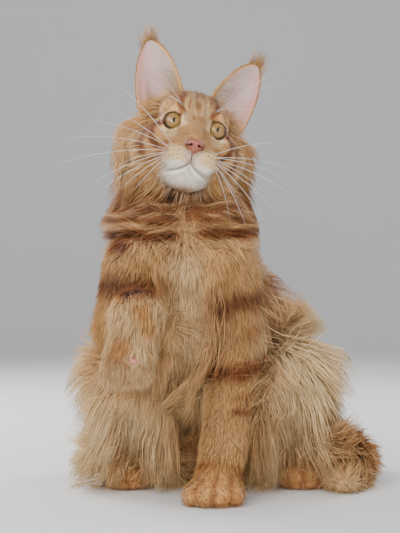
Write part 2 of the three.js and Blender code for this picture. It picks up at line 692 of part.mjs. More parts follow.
// A foreleg and its paw, parted by a thin cut at the wrist. Longer hair hangs from its upper part and its back.
function makeForeleg(suffix, leg, field, fringe) {
  const toeEnd = leg.toes.clone().lerp(leg.knuckles, 0.2);
  const pawAxis = [leg.wrist.clone().lerp(leg.elbow, 0.12), leg.knuckles, toeEnd];
  const normal = leg.wrist.clone().sub(leg.knuckles).normalize();
  const cut = leg.wrist.clone().addScaledVector(normal, -8);
  const behind = leg.wrist.clone().lerp(leg.elbow, 0.16);
  const limb = joined([
    wrapped([leg.shoulder.clone().lerp(leg.scapula, 0.15), leg.elbow], upperArm(leg), { sides: 12, rings: 10 }),
    wrapped([leg.elbow, leg.wrist], forearm(leg), { sides: 12, rings: 10 }),
  ]);
  const paw = wrapped(pawAxis, field, { sides: 22, rings: 14, dome: 0.3 });
  const whole = below(below(paw, cut, normal), behind, leg.elbow.clone().sub(leg.wrist).normalize());
  keepPart("forepaw_" + suffix, whole, [], []);
  const upper = levelTiers(field, (z) => at(leg.shoulder.x, 24, z), {
    top: 248, bottom: leg.elbow.z + 20, step: 42, spacing: 48, keep: ({ y }) => y > leg.shoulder.y - 45,
  });
  const back = tiersAlong(field, new THREE.LineCurve3(leg.elbow, leg.wrist), {
    from: 0.1, to: 0.6, step: 46, spacing: 46, keep: (spot) => fringe.behind(spot, leg),
  });
  const hair = { step: 40, width: 46, thickness: 4.2, lift: SLEEVE_LIFT };
  const locks = coat(field, upper, () => DOWN.clone(), hair);
  locks.push(...coat(field, back, () => fringe.lie.clone(), hair));
  keepPart("foreleg_" + suffix, limb, locks, ["forepaw_" + suffix, "head", "torso", "neck"]);
}

// A hind foot, flat on the floor from the hock to the toes.
function makeHindFoot(suffix, hind, field) {
  const axis = [hind.hock.clone().add(at(0, 4, 0)), hind.hock.clone().lerp(hind.toes, 0.6),
    hind.toes.clone().add(at(0, 6, 2))];
  keepPart("hindpaw_" + suffix, wrapped(axis, field, { sides: 18, rings: 13, dome: 0.22 }), [], []);
}

// A haunch: thigh and shank under the long breeches.
function makeThigh(suffix, side, hind, field) {
  const inner = PELVIS.clone().addScaledVector(SIDE, side * RUMP_WIDTH / 2);
  const outwards = SIDE.clone().multiplyScalar(side);
  const thigh = joined([
    wrapped([hind.hip, hind.knee], haunch(hind), { sides: 16, rings: 12 }),
    wrapped([hind.knee, hind.hock], shank(hind), { sides: 12, rings: 10 }),
  ]);
  const middle = hind.hip.clone().lerp(hind.knee, 0.5);
  const found = levelTiers(field, (z) => at(middle.x, middle.y, z), {
    top: hind.knee.z + 32, bottom: 42, step: 48, spacing: 60,
    keep: (spot) => side * (spot.x - inner.x) > 8,
  });
  const lie = (p) => at(side * 0.1, p.y > 120 ? 0.3 : -0.05, -1);
  const locks = coat(field, found, lie, { step: 44, width: 62, thickness: 6, lift: BREECHES.lift });
  const paws = ["forepaw_", "foreleg_", "hindpaw_"].map((part) => part + suffix);
  const met = ["torso", ...paws, "foreleg_left", "forepaw_left"];
  keepPart("thigh_" + suffix, beyond(thigh, inner, outwards), locks, met);
}

// The tail in three lengths, laid round the haunch on the floor, each of two bones' length.
const TAIL_NAMES = ["tail_base", "tail_middle", "tail_tip"];
const TAIL_BONES = TAIL.length - 1;
function makeTail() {
  const bone = (i) => {
    const field = cone(TAIL[i], TAIL[i + 1], TAIL_RADII[i], TAIL_RADII[i + 1]);
    return wrapped([TAIL[i], TAIL[i + 1]], field, { sides: 11, rings: 7, side: UP });
  };
  TAIL_NAMES.forEach((name, k) => {
    const [first, last] = [2 * k, 2 * k + 2];
    let length = joined([bone(first), bone(first + 1)]);
    if (first > 0) length = above(length, TAIL[first], TAIL_LINE.getTangent(first / TAIL_BONES));
    if (last < TAIL_BONES) length = below(length, TAIL[last], TAIL_LINE.getTangent(last / TAIL_BONES));
    const found = tiersAlong(TAIL_FIELD, TAIL_LINE, {
      from: Math.max(first / TAIL_BONES + 0.03, 0.12), to: last / TAIL_BONES - 0.04, step: 46, spacing: 50, side: UP,
      keep: (spot, out) => out.z > 0,
    });
    const locks = coat(TAIL_FIELD, found, (p) => TAIL_LINE.getTangentAt(nearestShare(p)), {
      step: 44, width: 50, thickness: 5.5, lift: BRUSH_LIFT,
    });
    if (last === TAIL_BONES) locks.push(...tailPlume());
    keepPart(name, length, locks, ["torso", "thigh_left", "hindpaw_left", "thigh_right", ...TAIL_NAMES.slice(0, k)]);
  });
}

// How far along the tail a point lies.
function nearestShare(p) {
  const shares = Array.from({ length: 41 }, (_, k) => k / 40);
  const gap = (share) => TAIL_LINE.getPointAt(share).distanceTo(p);
  const best = shares.reduce((a, b) => (gap(a) < gap(b) ? a : b));
  return clamp(best, 0.01, 0.99);
}

// The locks that close the end of the tail.
function tailPlume() {
  const end = TAIL_LINE.getPointAt(1);
  const flow = TAIL_LINE.getTangentAt(1);
  return [-1, 0, 1].map((k) => {
    const line = stations((share) => {
      const spot = end.clone().addScaledVector(flow, -8 + 44 * share);
      spot.add(at(-8 * k * share, 0, -4 * share));
      return { spot, out: UP };
    });
    return lock(line, 16, 4);
  });
}

// The neck and its ruff, which falls over the chest.
function makeNeck() {
  const axis = [NECK_BASE, NECK_TOP];
  const neck = wrapped(axis, NECK_FIELD, { sides: 18, rings: 12, dome: 0.3 });
  const spine = new THREE.LineCurve3(NECK_BASE, NECK_TOP);
  const found = levelTiers(NECK_FIELD, (z) => spine.getPoint((z - NECK_BASE.z) / (NECK_TOP.z - NECK_BASE.z)), {
    top: 346, bottom: 250, step: 42, spacing: 50,
  });
  const hair = { step: 38, width: 52, thickness: 5.5, lift: RUFF.lift };
  const locks = coat(NECK_FIELD, found, () => DOWN.clone(), hair);
  keepPart("neck", neck, locks, ["head", "torso"]);
}

// The trunk, with the bib on the chest, the coat of the flanks and back, and the belly's fringe.
function makeTorso() {
  const axis = [CHEST.clone().add(at(0, 0, 20)), RIBS, PELVIS];
  const trunk = wrapped(axis, TORSO_FIELD, { sides: 20, rings: 16, dome: 0.25 });
  const spine = new THREE.CatmullRomCurve3([CHEST.clone().add(at(0, 0, 40)), RIBS, PELVIS.clone().add(at(0, 0, -60))]);
  const heights = Array.from({ length: 41 }, (_, k) => spine.getPoint(k / 40));
  const centreAt = (z) => heights.reduce((a, b) => (Math.abs(a.z - z) < Math.abs(b.z - z) ? a : b)).clone().setZ(z);
  const found = levelTiers(TORSO_FIELD, centreAt, { top: 258, bottom: 42, step: 46, spacing: 54 });
  const lie = (p) => at(0, p.y > RIBS.y ? 0.3 : 0, -1);
  const locks = coat(TORSO_FIELD, found, lie, { step: 44, width: 56, thickness: 6, lift: FLANK.lift });
  keepPart("torso", trunk, locks, ["head"]);
}

makeEyes();
makeNose();
makeHead();
makeEar("ear_left", LEFT);
makeEar("ear_right", RIGHT);
makeTorso();
makeNeck();
makeForeleg("left", LEG_LEFT, LEG_FIELD_LEFT, {
  lie: at(-0.3, 0.5, -1),
  behind: (spot, { elbow, wrist }) => spot.y > lerp(wrist.y, elbow.y, (spot.z - wrist.z) / (elbow.z - wrist.z)) + 4,
});
makeForeleg("right", LEG_RIGHT, LEG_FIELD_RIGHT, {
  lie: at(-0.1, 0.3, -1),
  behind: (spot, { elbow, wrist }) => spot.z < Math.min(elbow.z, wrist.z),
});
makeHindFoot("left", HIND_LEFT, FOOT_FIELD_LEFT);
makeHindFoot("right", HIND_RIGHT, FOOT_FIELD_RIGHT);
makeThigh("left", LEFT, HIND_LEFT, THIGH_FIELD_LEFT);
makeThigh("right", RIGHT, HIND_RIGHT, THIGH_FIELD_RIGHT);
makeTail();

// Finishes.
const finish = (color, roughness) => new THREE.MeshStandardMaterial({ color, roughness, metalness: 0 });
const RED_COAT = finish(0xb98552, 0.85);
const PALE_COAT = finish(0xd8bd92, 0.85);
const NOSE_PINK = finish(0xc4776a, 0.5);
const IRIS_GOLD = finish(0xb08a3c, 0.1);
const finishes = { nose: NOSE_PINK, eye_left: IRIS_GOLD, eye_right: IRIS_GOLD, tail_tip: PALE_COAT };

const cat = new THREE.Group();
for (const [name, geometry] of made) {
  geometry.computeVertexNormals();
  const mesh = new THREE.Mesh(geometry, finishes[name] ?? RED_COAT);
  mesh.name = name;
  cat.add(mesh);
}

// The origin is the middle of the cat's footprint, on the floor.
const extent = new THREE.Box3().setFromObject(cat);
const middle = extent.getCenter(at(0, 0, 0));
cat.position.set(-middle.x, -middle.y, -extent.min.z);

export default cat;
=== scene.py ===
# %% [markdown]
# # A red tabby Maine Coon, sitting with one paw raised
#
# A life-size model of a long-haired cat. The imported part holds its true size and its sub-parts, and this
# lesson dresses it: one skin for the whole body, eyes, nose leather, ears and whiskers, and then the coat,
# which is many thousand thin tapered tufts that grow from the skin and follow the lie of the hair.
#
# Lengths are in millimetres in the cat's own frame, as a sculptor would note them, and small helpers turn
# them into metres in the part's frame. X runs to the cat's left, Y to its back and Z up.

# %% Load the frame
import math

import bpy
import numpy as np
from mathutils import Matrix, Vector, kdtree


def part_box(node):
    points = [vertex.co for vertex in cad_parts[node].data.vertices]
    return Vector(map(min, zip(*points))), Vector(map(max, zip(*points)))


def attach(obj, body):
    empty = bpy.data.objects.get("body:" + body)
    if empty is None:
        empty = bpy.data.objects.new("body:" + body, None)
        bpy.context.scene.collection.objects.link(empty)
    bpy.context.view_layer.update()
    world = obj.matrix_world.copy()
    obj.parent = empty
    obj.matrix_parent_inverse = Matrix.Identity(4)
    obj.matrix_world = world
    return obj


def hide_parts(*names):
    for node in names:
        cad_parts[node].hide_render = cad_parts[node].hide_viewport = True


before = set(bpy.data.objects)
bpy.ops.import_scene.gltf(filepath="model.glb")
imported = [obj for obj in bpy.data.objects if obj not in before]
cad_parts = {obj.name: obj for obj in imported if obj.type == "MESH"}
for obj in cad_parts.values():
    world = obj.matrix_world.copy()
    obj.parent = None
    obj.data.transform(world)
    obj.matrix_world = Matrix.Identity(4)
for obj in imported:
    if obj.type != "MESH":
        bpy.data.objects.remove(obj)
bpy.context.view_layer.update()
bpy.ops.object.select_all(action="DESELECT")

mm = 0.001
rng = np.random.default_rng(20461)

# %% [markdown]
# ## Where the cat sits in the frame
#
# The landmarks are measured from a point on the floor under the head, while the part's origin is the
# middle of its footprint. The two eyeballs are round and exact, so their boxes tell how far apart the two
# origins are.

# %% Find the cat's own origin
EYE_RADIUS = 10.6 * mm
EYES_AT = np.array((-6, -12, 373)) * mm  # midway between the eyeballs, from the cat's origin

eye_boxes = [np.array(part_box(name)) for name in ("eye_left", "eye_right")]
eyes_middle = np.mean([b.mean(axis=0) for b in eye_boxes], axis=0)
eyes_middle[1] = np.mean([b[1][1] for b in eye_boxes]) - EYE_RADIUS
ORIGIN = eyes_middle - EYES_AT
ORIGIN[2] = 0.0
print("cat's origin in the part's frame, mm:", np.round(ORIGIN / mm, 1))


def at(x, y, z):
    """A landmark, from millimetres in the cat's own frame to metres in the part's frame."""
    return ORIGIN + np.array((x, y, z), dtype=float) * mm


# %% [markdown]
# ## Camera, floor and light
#
# The camera stands level, a little over a metre away, at the height of the cat's chest. The lens is worked
# out so that at that distance one millimetre is one pixel. A sweep, a floor that curves up into a wall,
# gives a plain pale ground with no horizon. A large soft light stands at each side in front, two behind
# draw a bright edge along the coat, and a small one near the camera puts a glint in each eye.

# %% Camera
PHOTO_WIDTH, PHOTO_HEIGHT = 400, 533
CAMERA_DISTANCE = 1300
CAMERA_HEIGHT = 235
SENSOR = 36

camera_place = at(0, -CAMERA_DISTANCE, CAMERA_HEIGHT)
bpy.ops.object.camera_add(location=camera_place, rotation=(math.radians(90), 0, 0))
camera = bpy.context.object
camera.name = "camera"
camera.data.sensor_fit = "VERTICAL"
camera.data.sensor_height = SENSOR
camera.data.sensor_width = SENSOR
camera.data.lens = SENSOR * CAMERA_DISTANCE / PHOTO_HEIGHT
camera.data.clip_end = 50
bpy.context.scene.camera = camera
print("camera lens:", round(camera.data.lens, 1), "mm")

# %% Floor and wall in one sweep
# Metres, because the sweep is as large as a room.
SWEEP_FRONT, SWEEP_BACK, SWEEP_BEND, SWEEP_TOP = -3.0, 2.2, 1.0, 4.0
SWEEP_HALF_WIDTH = 6.0

bpy.ops.mesh.primitive_plane_add(size=1, location=(0, 0, 0))
floor = bpy.context.object
floor.name = "floor"
bpy.ops.object.mode_set(mode="EDIT")
bpy.ops.mesh.delete(type="ONLY_FACE")
bpy.ops.object.mode_set(mode="OBJECT")
turns = np.linspace(0, math.pi / 2, 17)
bend = [(SWEEP_BACK + SWEEP_BEND * math.sin(t), SWEEP_BEND * (1 - math.cos(t))) for t in turns]
profile = [(SWEEP_FRONT, 0.0)] + bend + [(SWEEP_BACK + SWEEP_BEND, SWEEP_TOP)]
places = [(x, y, z) for x in (-SWEEP_HALF_WIDTH, SWEEP_HALF_WIDTH) for y, z in profile]
n = len(profile)
floor.data.clear_geometry()
floor.data.from_pydata(places, [], [(i, n + i, n + i + 1, i + 1) for i in range(n - 1)])
bpy.ops.object.shade_smooth()


def plain_material(name, colour, roughness):
    material = bpy.data.materials.new(name)
    material.use_nodes = True
    shader = material.node_tree.nodes["Principled BSDF"]
    shader.inputs["Base Color"].default_value = (*colour, 1)
    shader.inputs["Roughness"].default_value = roughness
    return material


floor.data.materials.append(plain_material("pale_ground", (0.74, 0.73, 0.71), 0.9))
print("sweep:", len(floor.data.polygons), "faces")

# %% Soft light
world = bpy.data.worlds.new("studio") if not bpy.context.scene.world else bpy.context.scene.world
bpy.context.scene.world = world
world.use_nodes = True
world.node_tree.nodes["Background"].inputs["Color"].default_value = (0.9, 0.93, 1.0, 1)
world.node_tree.nodes["Background"].inputs["Strength"].default_value = 0.6


def soft_light(name, place, aim, size, power):
    bpy.ops.object.light_add(type="AREA", location=place)
    light = bpy.context.object
    light.name = name
    light.data.size = size
    light.data.energy = power
    light.rotation_euler = (Vector(aim) - Vector(place)).to_track_quat("-Z", "Y").to_euler()


CHEST_FRONT = at(0, 0, 240)
# For each light: where it hangs, what it shines at, its size in metres and its power in watts.
LIGHTS = {
    "key": (at(-900, -1500, 1300), CHEST_FRONT, 1.3, 34),
    "fill": (at(1300, -1300, 600), CHEST_FRONT, 1.5, 9),
    "edge_left": (at(-1000, 900, 900), CHEST_FRONT, 0.8, 26),
    "edge_right": (at(900, 1000, 1100), CHEST_FRONT, 0.8, 12),
    "glint": (at(-60, -1240, 420), ORIGIN + EYES_AT, 0.14, 6),
}
for name, light in LIGHTS.items():
    soft_light(name, *light)
print("lights:", len(LIGHTS))

# %% [markdown]
# ## The masses of the body
#
# A sculptor blocks an animal out in simple masses: balls for skull, cheeks and muzzle, and tapered bars
# for neck, trunk and limbs. Each mass here can do two things. It can be added as a primitive, and it can
# say how far any point lies outside it. Blending those distances gives one smooth body, and a skin can be
# laid on it exactly.


# %% Two kinds of mass
class Bar:
    """A tapered bar with round ends, from one joint to the next. Radii in millimetres."""

    def __init__(self, a, b, start, end):
        self.a, self.b = np.asarray(a), np.asarray(b)
        self.start, self.end = start * mm, end * mm

    def distance(self, p):
        along = self.b - self.a
        share = np.clip((p - self.a) @ along / (along @ along), 0, 1)
        return np.linalg.norm(p - self.a - share[:, None] * along, axis=1) - (
            self.start + (self.end - self.start) * share
        )

    def add(self):
        made = []
        for place, radius in ((self.a, self.start), (self.b, self.end)):
            bpy.ops.mesh.primitive_uv_sphere_add(segments=24, ring_count=16, radius=radius, location=place)
            made.append(bpy.context.object)
        along = Vector(self.b - self.a)
        bpy.ops.mesh.primitive_cone_add(
            vertices=24, radius1=self.start, radius2=self.end, depth=along.length,
            location=(self.a + self.b) / 2, rotation=along.to_track_quat("Z", "Y").to_euler(),
        )
        return made + [bpy.context.object]


class Egg:
    """A ball drawn out along its own three axes, turned with the head where a turn is given."""

    def __init__(self, centre, radii, turn=None):
        self.centre = np.asarray(centre)
        self.radii = np.array(radii, dtype=float) * mm
        self.turn = np.eye(3) if turn is None else turn

    def distance(self, p):
        q = (p - self.centre) @ self.turn
        near = np.linalg.norm(q / self.radii, axis=1)
        steep = np.linalg.norm(q / self.radii**2, axis=1)
        return near * (near - 1) / np.maximum(steep, 1e-6)

    def add(self):
        bpy.ops.mesh.primitive_uv_sphere_add(segments=32, ring_count=20, radius=1, location=self.centre)
        ball = bpy.context.object
        ball.scale = self.radii
        ball.rotation_euler = Matrix(self.turn.tolist()).to_euler()
        return [ball]


def blend(width, distances):
    """Distances outside several masses that run into one another over a width in millimetres."""
    width *= mm
    low = distances[0]
    for d in distances[1:]:
        share = np.maximum(width - np.abs(low - d), 0) / width
        low = np.minimum(low, d) - share * share * width / 4
    return low


tried = Egg((0, 0, 0), (10, 10, 10)).distance(np.array([(0, 0, 12 * mm)]))[0]
print("12 mm from the middle of a 10 mm ball is outside it by", round(float(tried) / mm, 2), "mm")

# %% [markdown]
# ## Landmarks
#
# These are the joints of a sitting Maine Coon, read from its pose: the head turned and tipped, the left
# foreleg planted, the right one lifted with its paw hanging from the bent wrist, and the haunches folded
# on the floor. The radii are those of the flesh, so they leave out the coat, which is a few millimetres
# deep on the face and paws and several centimetres deep on the breeches and tail.

# %% Head
HEAD_YAW, HEAD_PITCH, HEAD_ROLL = 9, 4, 12
EYES = ORIGIN + EYES_AT
HEAD_TURN = np.array(
    Matrix.Rotation(math.radians(HEAD_YAW), 3, "Z")
    @ Matrix.Rotation(math.radians(-HEAD_PITCH), 3, "X")
    @ Matrix.Rotation(math.radians(HEAD_ROLL), 3, "Y")
)


def in_head(x, y, z):
    """A point of the head, in millimetres from midway between the eyes: y is negative in front."""
    return EYES + HEAD_TURN @ np.array((x, y, z), dtype=float) * mm


def head_egg(x, y, z, *radii):
    return Egg(in_head(x, y, z), radii, HEAD_TURN)


def both(make):
    return [make(-1), make(1)]


FACE_MASSES = [
    head_egg(0, 38, 10, 39, 43, 31),
    head_egg(0, 12, -22, 34, 34, 28),
    head_egg(0, 10, 12, 34.5, 22.5, 22.5),
    *both(lambda s: head_egg(s * 32, 23, -22, 23.5, 29, 24.5)),
    *both(lambda s: head_egg(s * 26.5, 3.5, -14.5, 13.5, 12, 10)),
    Bar(in_head(0, 5, 3.5), in_head(0, -26.5, -17), 14.5, 10),
    *both(lambda s: head_egg(s * 14, -22, -35.5, 15.3, 16, 12)),
    head_egg(0, -9, -52.5, 20.5, 16.5, 13),
    head_egg(0, 18, -44, 33, 31, 19),
    head_egg(0, 42, -32, 34, 31, 33),
]
print("masses of the head:", len(FACE_MASSES))

# %% Trunk, limbs and tail
NECK = Bar(at(-17, 44, 268), at(-9, 42, 328), 44, 35)
CHEST, RIBS, PELVIS = at(-15, 42, 236), at(-4, 84, 168), at(13, 146, 74)
TRUNK = [Bar(CHEST, RIBS, 50, 57), Bar(RIBS, PELVIS, 57, 61)]

LEFT_LEG = dict(shoulder=at(25, 17, 233), elbow=at(37, 38, 164), wrist=at(23, 4, 50),
                knuckles=at(17, -14, 20), toes=at(13, -33, 11), spread=14, toe=10)
RIGHT_LEG = dict(shoulder=at(-62, 12, 236), elbow=at(-76, 36, 170), wrist=at(-59, -56, 189),
                 knuckles=at(-66, -63, 154), toes=at(-71, -60, 135), spread=10.5, toe=9.4)
LEFT_HIND = dict(hip=at(60, 148, 92), knee=at(86, 80, 120), hock=at(104, 150, 17), toes=at(108, 70, 11))
RIGHT_HIND = dict(hip=at(-32, 148, 90), knee=at(-58, 76, 112), hock=at(-72, 148, 17), toes=at(-76, 68, 11))
TOE_PLACES = (-1.5, -0.5, 0.5, 1.5)
OUTER_TOE = 0.9  # the size of an outer toe beside an inner one
TOE_CURVE = 2.8  # how much further back the outer toes lie, in millimetres
FOREPAW_TAPER, HINDPAW_TAPER = 0.6, 0.75  # how far the toes' roots are spread, beside their tips
HIND_SPREAD, HIND_TOE = 10.5, 9.8  # how far apart the hind toes stand, and their radius


def toes_of(tip, knuckles, spread, radius, taper):
    """Four toes side by side, the middle two furthest forward. The spread and radius are in millimetres."""
    made = []
    for k in TOE_PLACES:
        size = 1 if abs(k) < 1 else OUTER_TOE
        shift = np.array((k * spread, TOE_CURVE * k * k, (size - 1) * radius)) * mm
        made.append(Bar(knuckles + taper * shift, tip + shift, size * radius, size * radius))
    return made


def forepaw_toes(leg):
    return toes_of(leg["toes"], leg["knuckles"], leg["spread"], leg["toe"], FOREPAW_TAPER)


def hind_knuckles(hind):
    return hind["toes"] + np.array((0, 18, 3.6)) * mm


def hindpaw_toes(hind):
    return toes_of(hind["toes"], hind_knuckles(hind), HIND_SPREAD, HIND_TOE, HINDPAW_TAPER)


def foreleg_masses(leg):
    upper = [Bar(leg["shoulder"], leg["elbow"], 29, 26), Bar(leg["elbow"], leg["wrist"], 25, 18)]
    return upper + [Bar(leg["wrist"], leg["knuckles"], 18.5, leg["toe"] + 7)] + forepaw_toes(leg)


def hindleg_masses(hind):
    foot = [Bar(hind["hock"], hind_knuckles(hind), 16, 13.5)] + hindpaw_toes(hind)
    return [Bar(hind["hip"], hind["knee"], 46, 31), Bar(hind["knee"], hind["hock"], 26, 17)] + foot


TAIL_PLACES = [at(14, 192, 42), at(40, 232, 27), at(96, 240, 26.5), at(142, 206, 26.5), at(162, 152, 24.5),
               at(160, 98, 21.5), at(151, 58, 14)]
TAIL_FLESH = (13, 12, 11, 10, 9, 8, 6)
TAIL_BARS = [
    Bar(a, b, start, end)
    for a, b, start, end in zip(TAIL_PLACES, TAIL_PLACES[1:], TAIL_FLESH, TAIL_FLESH[1:])
]
print("the tail's flesh is", round(sum(np.linalg.norm(bar.b - bar.a) for bar in TAIL_BARS) / mm), "mm long")

# %% The flesh, part by part
# Each part has its masses and the width over which they run together.
FLESH = {
    "head": (FACE_MASSES, 9),
    "neck": ([NECK], 8),
    "trunk": (TRUNK, 24),
    "left_foreleg": (foreleg_masses(LEFT_LEG), 8),
    "right_foreleg": (foreleg_masses(RIGHT_LEG), 8),
    "left_hind": (hindleg_masses(LEFT_HIND), 9),
    "right_hind": (hindleg_masses(RIGHT_HIND), 9),
    "tail": (TAIL_BARS, 8),
}


BODY_BLEND = 12


def part_distances(p):
    """How far each point lies outside each part, as one row a part."""
    return np.array([blend(width, [m.distance(p) for m in masses]) for masses, width in FLESH.values()])


def body(p):
    """How far each point lies outside the whole body."""
    return blend(BODY_BLEND, list(part_distances(p)))


def slope(field, p, step=0.4 * mm):
    """The way straight out of a field at each point."""
    rise = [field(p + step * axis) - field(p - step * axis) for axis in np.eye(3)]
    out = np.stack(rise, axis=1)
    return out / np.maximum(np.linalg.norm(out, axis=1, keepdims=True), 1e-12)


print("masses:", sum(len(masses) for masses, _ in FLESH.values()))

# %% [markdown]
# ## Markings
#
# A red tabby is one warm colour in several strengths: cream under the chin and down the chest, tan as the
# ground, orange on the toes and rust in the stripes. Nothing is painted by hand. The pattern is a set of
# soft functions of place: streaks on the brow, a line from the corner of each eye, bands round the neck,
# legs and tail, and whorls on the flanks. A few rust marks are painted shade: in the gaps between the toes,
# where the cheeks meet the whisker pads, and on the chest beside the raised paw. Skin and coat call the
# same function, so they always agree.


# %% Soft helpers for patterns
def noise(p, size, seed=0):
    """Smooth random values between 0 and 1, with features about as large as the size in millimetres."""
    q = p / (size * mm) + 17.3 * seed
    cell = np.floor(q).astype(np.int64)
    f = q - cell
    f = f * f * (3 - 2 * f)
    total = np.zeros(len(p))
    for corner in np.ndindex(2, 2, 2):
        c = cell + np.array(corner)
        h = (c[:, 0] * 73856093) ^ (c[:, 1] * 19349663) ^ (c[:, 2] * 83492791)
        h = ((h ^ (h >> 13)) * 1274126177) & 0x7FFFFFFF
        weight = np.prod(np.where(np.array(corner), f, 1 - f), axis=1)
        total += weight * ((h ^ (h >> 16)) % 10007) / 10007
    return total


def smooth(low, high, x):
    """Rises from 0 to 1 as x goes from low to high."""
    t = np.clip((x - low) / (high - low), 0, 1)
    return t * t * (3 - 2 * t)


def spot(x, centre, width):
    """1 at the centre, falling softly to 0 at the width."""
    return 1 - smooth(0.35, 1, np.abs(x - centre) / width)


def strongest(*marks):
    """The strongest of several marks at each point."""
    return np.maximum.reduce(marks)


def paint(red, green, blue):
    """A colour from its 0 to 255 screen values, as the linear numbers that shaders use."""
    c = np.array((red, green, blue)) / 255
    return np.where(c <= 0.04045, c / 12.92, ((c + 0.055) / 1.055) ** 2.4)


# %% Colours and places
CREAM = paint(232, 201, 150)
TAN = paint(208, 158, 99)
RUST = paint(146, 84, 38)
DEEP = paint(102, 56, 26)
WHITE = paint(234, 224, 208)
ORANGE = paint(192, 128, 62)


def head_place(p):
    """Points in the head's own millimetres."""
    return (p - EYES) @ HEAD_TURN / mm


def cat_place(p):
    """Points in the cat's own millimetres."""
    return (p - ORIGIN) / mm


def nearness(d, width=7):
    """Each part's share of each point, by the part's name, from the part distances."""
    share = np.exp(-(d - d.min(axis=0)) / (width * mm))
    return dict(zip(FLESH, share / share.sum(axis=0)))


print("tan as linear numbers:", TAN.round(3))


# %% Lines of the head
def stroke(x, z, line, width):
    """1 along a line through a few points, falling softly to 0 at the width."""
    at_point = np.stack([x, z], axis=1)
    nearest = np.full(len(x), np.inf)
    for a, b in zip(np.array(line[:-1], dtype=float), np.array(line[1:], dtype=float)):
        share = np.clip((at_point - a) @ (b - a) / ((b - a) @ (b - a)), 0, 1)
        nearest = np.minimum(nearest, np.linalg.norm(at_point - a - share[:, None] * (b - a), axis=1))
    return 1 - smooth(0.3, 1, nearest / width)


# Each line is given once, for both sides: how far out from the middle of the face, and how high.
BROW_LINE = ((15, 11), (19, 18), (17.5, 28), (14, 40), (13, 52))
INNER_LINE = ((4, 5), (7, 12), (6, 20), (4, 31))
CROWN_LINE = ((3, 30), (3, 40), (5, 52))
EYE_LINE = ((24, -3), (31, -2), (38, -5), (41.5, -13), (39, -22), (33, -27))
CHEEK_LINE = ((41, -8), (47, -14), (49, -25), (45, -36))
JAW_LINE = ((28, -33), (36, -40), (46, -42))
TEMPLE_LINE = ((30, 6), (40, 5), (50, 0))
print("a place on the eye's line:", stroke(np.array([31.0]), np.array([-2.0]), EYE_LINE, 4))


# %% Marks of the head
def head_rust(h, p, ax, up, streaks):
    """Stripes, brow streaks, the nose's bridge, rows of the pads, and painted shade where cheek meets pad.
    """
    _, y, z = h.T
    front = smooth(34, 14, y)
    side = smooth(44, 26, y)
    stripes = strongest(
        1.1 * front * stroke(ax, up, BROW_LINE, 4),
        0.4 * front * stroke(ax, up, INNER_LINE, 2.2),
        0.8 * smooth(60, 30, y) * stroke(ax, up, CROWN_LINE, 3),
        1.25 * side * stroke(ax, up, EYE_LINE, 4.4),
        1.05 * side * stroke(ax, up, CHEEK_LINE, 4.8),
        0.7 * side * stroke(ax, up, JAW_LINE, 4),
        0.55 * side * stroke(ax, up, TEMPLE_LINE, 3),
    )
    patchy = 0.65 + 0.5 * noise(p, 5, 12)
    bridge = smooth(13, 5, ax) * smooth(0, -12, z) * smooth(-10, -24, y)
    # Painted shade in the crease where each cheek meets its whisker pad.
    pad_crease_shade = spot(ax, 27, 5) * spot(z, -30, 13) * smooth(4, -6, y)
    rows = spot((z + 25.5 + 0.3 * ax) % 4.6, 2.3, 1.1) * spot((ax + 1.9 * y) % 5.4, 2.7, 1.5)
    pads = smooth(8, 11, ax) * smooth(26, 21, ax) * smooth(-14, -20, y)
    pads = pads * smooth(-42, -37, z) * smooth(-21, -25, z)
    return strongest(
        stripes * patchy,
        0.6 * smooth(0.52, 0.72, streaks) * front * smooth(4, 12, z) * smooth(30, 22, ax),
        0.45 * bridge,
        0.6 * pad_crease_shade,
        0.8 * rows * pads,
    )


def head_cream(h, ax, streaks):
    """The pale middle of the brow, the spots over and under each eye, the muzzle and the cheeks."""
    _, y, z = h.T
    brow = 0.65 * smooth(19, 9, ax) * smooth(3, 12, z) * smooth(36, 20, z)
    return strongest(
        brow * smooth(34, 14, y) * smooth(0.62, 0.4, streaks),
        0.85 * spot(ax, 12.5, 5) * spot(z, 4, 9) * smooth(10, 0, y),
        0.7 * spot(np.hypot(ax - 24, z + 10), 3, 7),
        0.95 * smooth(-24, -30, z) * smooth(-2, -12, y) * smooth(31, 24, ax),
        0.35 * smooth(40, 46, ax) * smooth(-8, -20, z),
    )


def head_white(h, ax):
    """White under the nose, on the chin and along the lips."""
    _, y, z = h.T
    return strongest(
        0.5 * smooth(-28, -33, z) * smooth(-10, -18, y) * smooth(13, 6, ax),
        smooth(-40, -45, z) * smooth(18, -2, y) * smooth(29, 19, ax),
        0.45 * spot(z, mouth_height(ax) + 1, 3.5) * smooth(-6, -14, y) * smooth(26, 20, ax),
    )


def head_marks(h, p):
    """Rust, cream and white of the head, between 0 and 1, from the head's own place h."""
    ax = np.abs(h[:, 0]) + 2.2 * (noise(p, 8, 1) - 0.5)
    up = h[:, 2] + 2.2 * (noise(p, 8, 11) - 0.5)
    streaks = noise(h * np.array((1, 0.3, 0.24)) * mm, 3.4, 16)
    return head_rust(h, p, ax, up, streaks), head_cream(h, ax, streaks), head_white(h, ax)


def mouth_height(ax):
    """The height of the line between the lips, in head millimetres, at a place out from the middle."""
    return -40.5 - 11.5 * (1 - np.exp(-ax / 9.5))


print("the mouth in the middle and 20 mm out, mm:", mouth_height(np.array((0, 20))).round(1))

# %% Marks of the body
TOE_SETS = [forepaw_toes(leg) for leg in (LEFT_LEG, RIGHT_LEG)]
TOE_SETS += [hindpaw_toes(hind) for hind in (LEFT_HIND, RIGHT_HIND)]


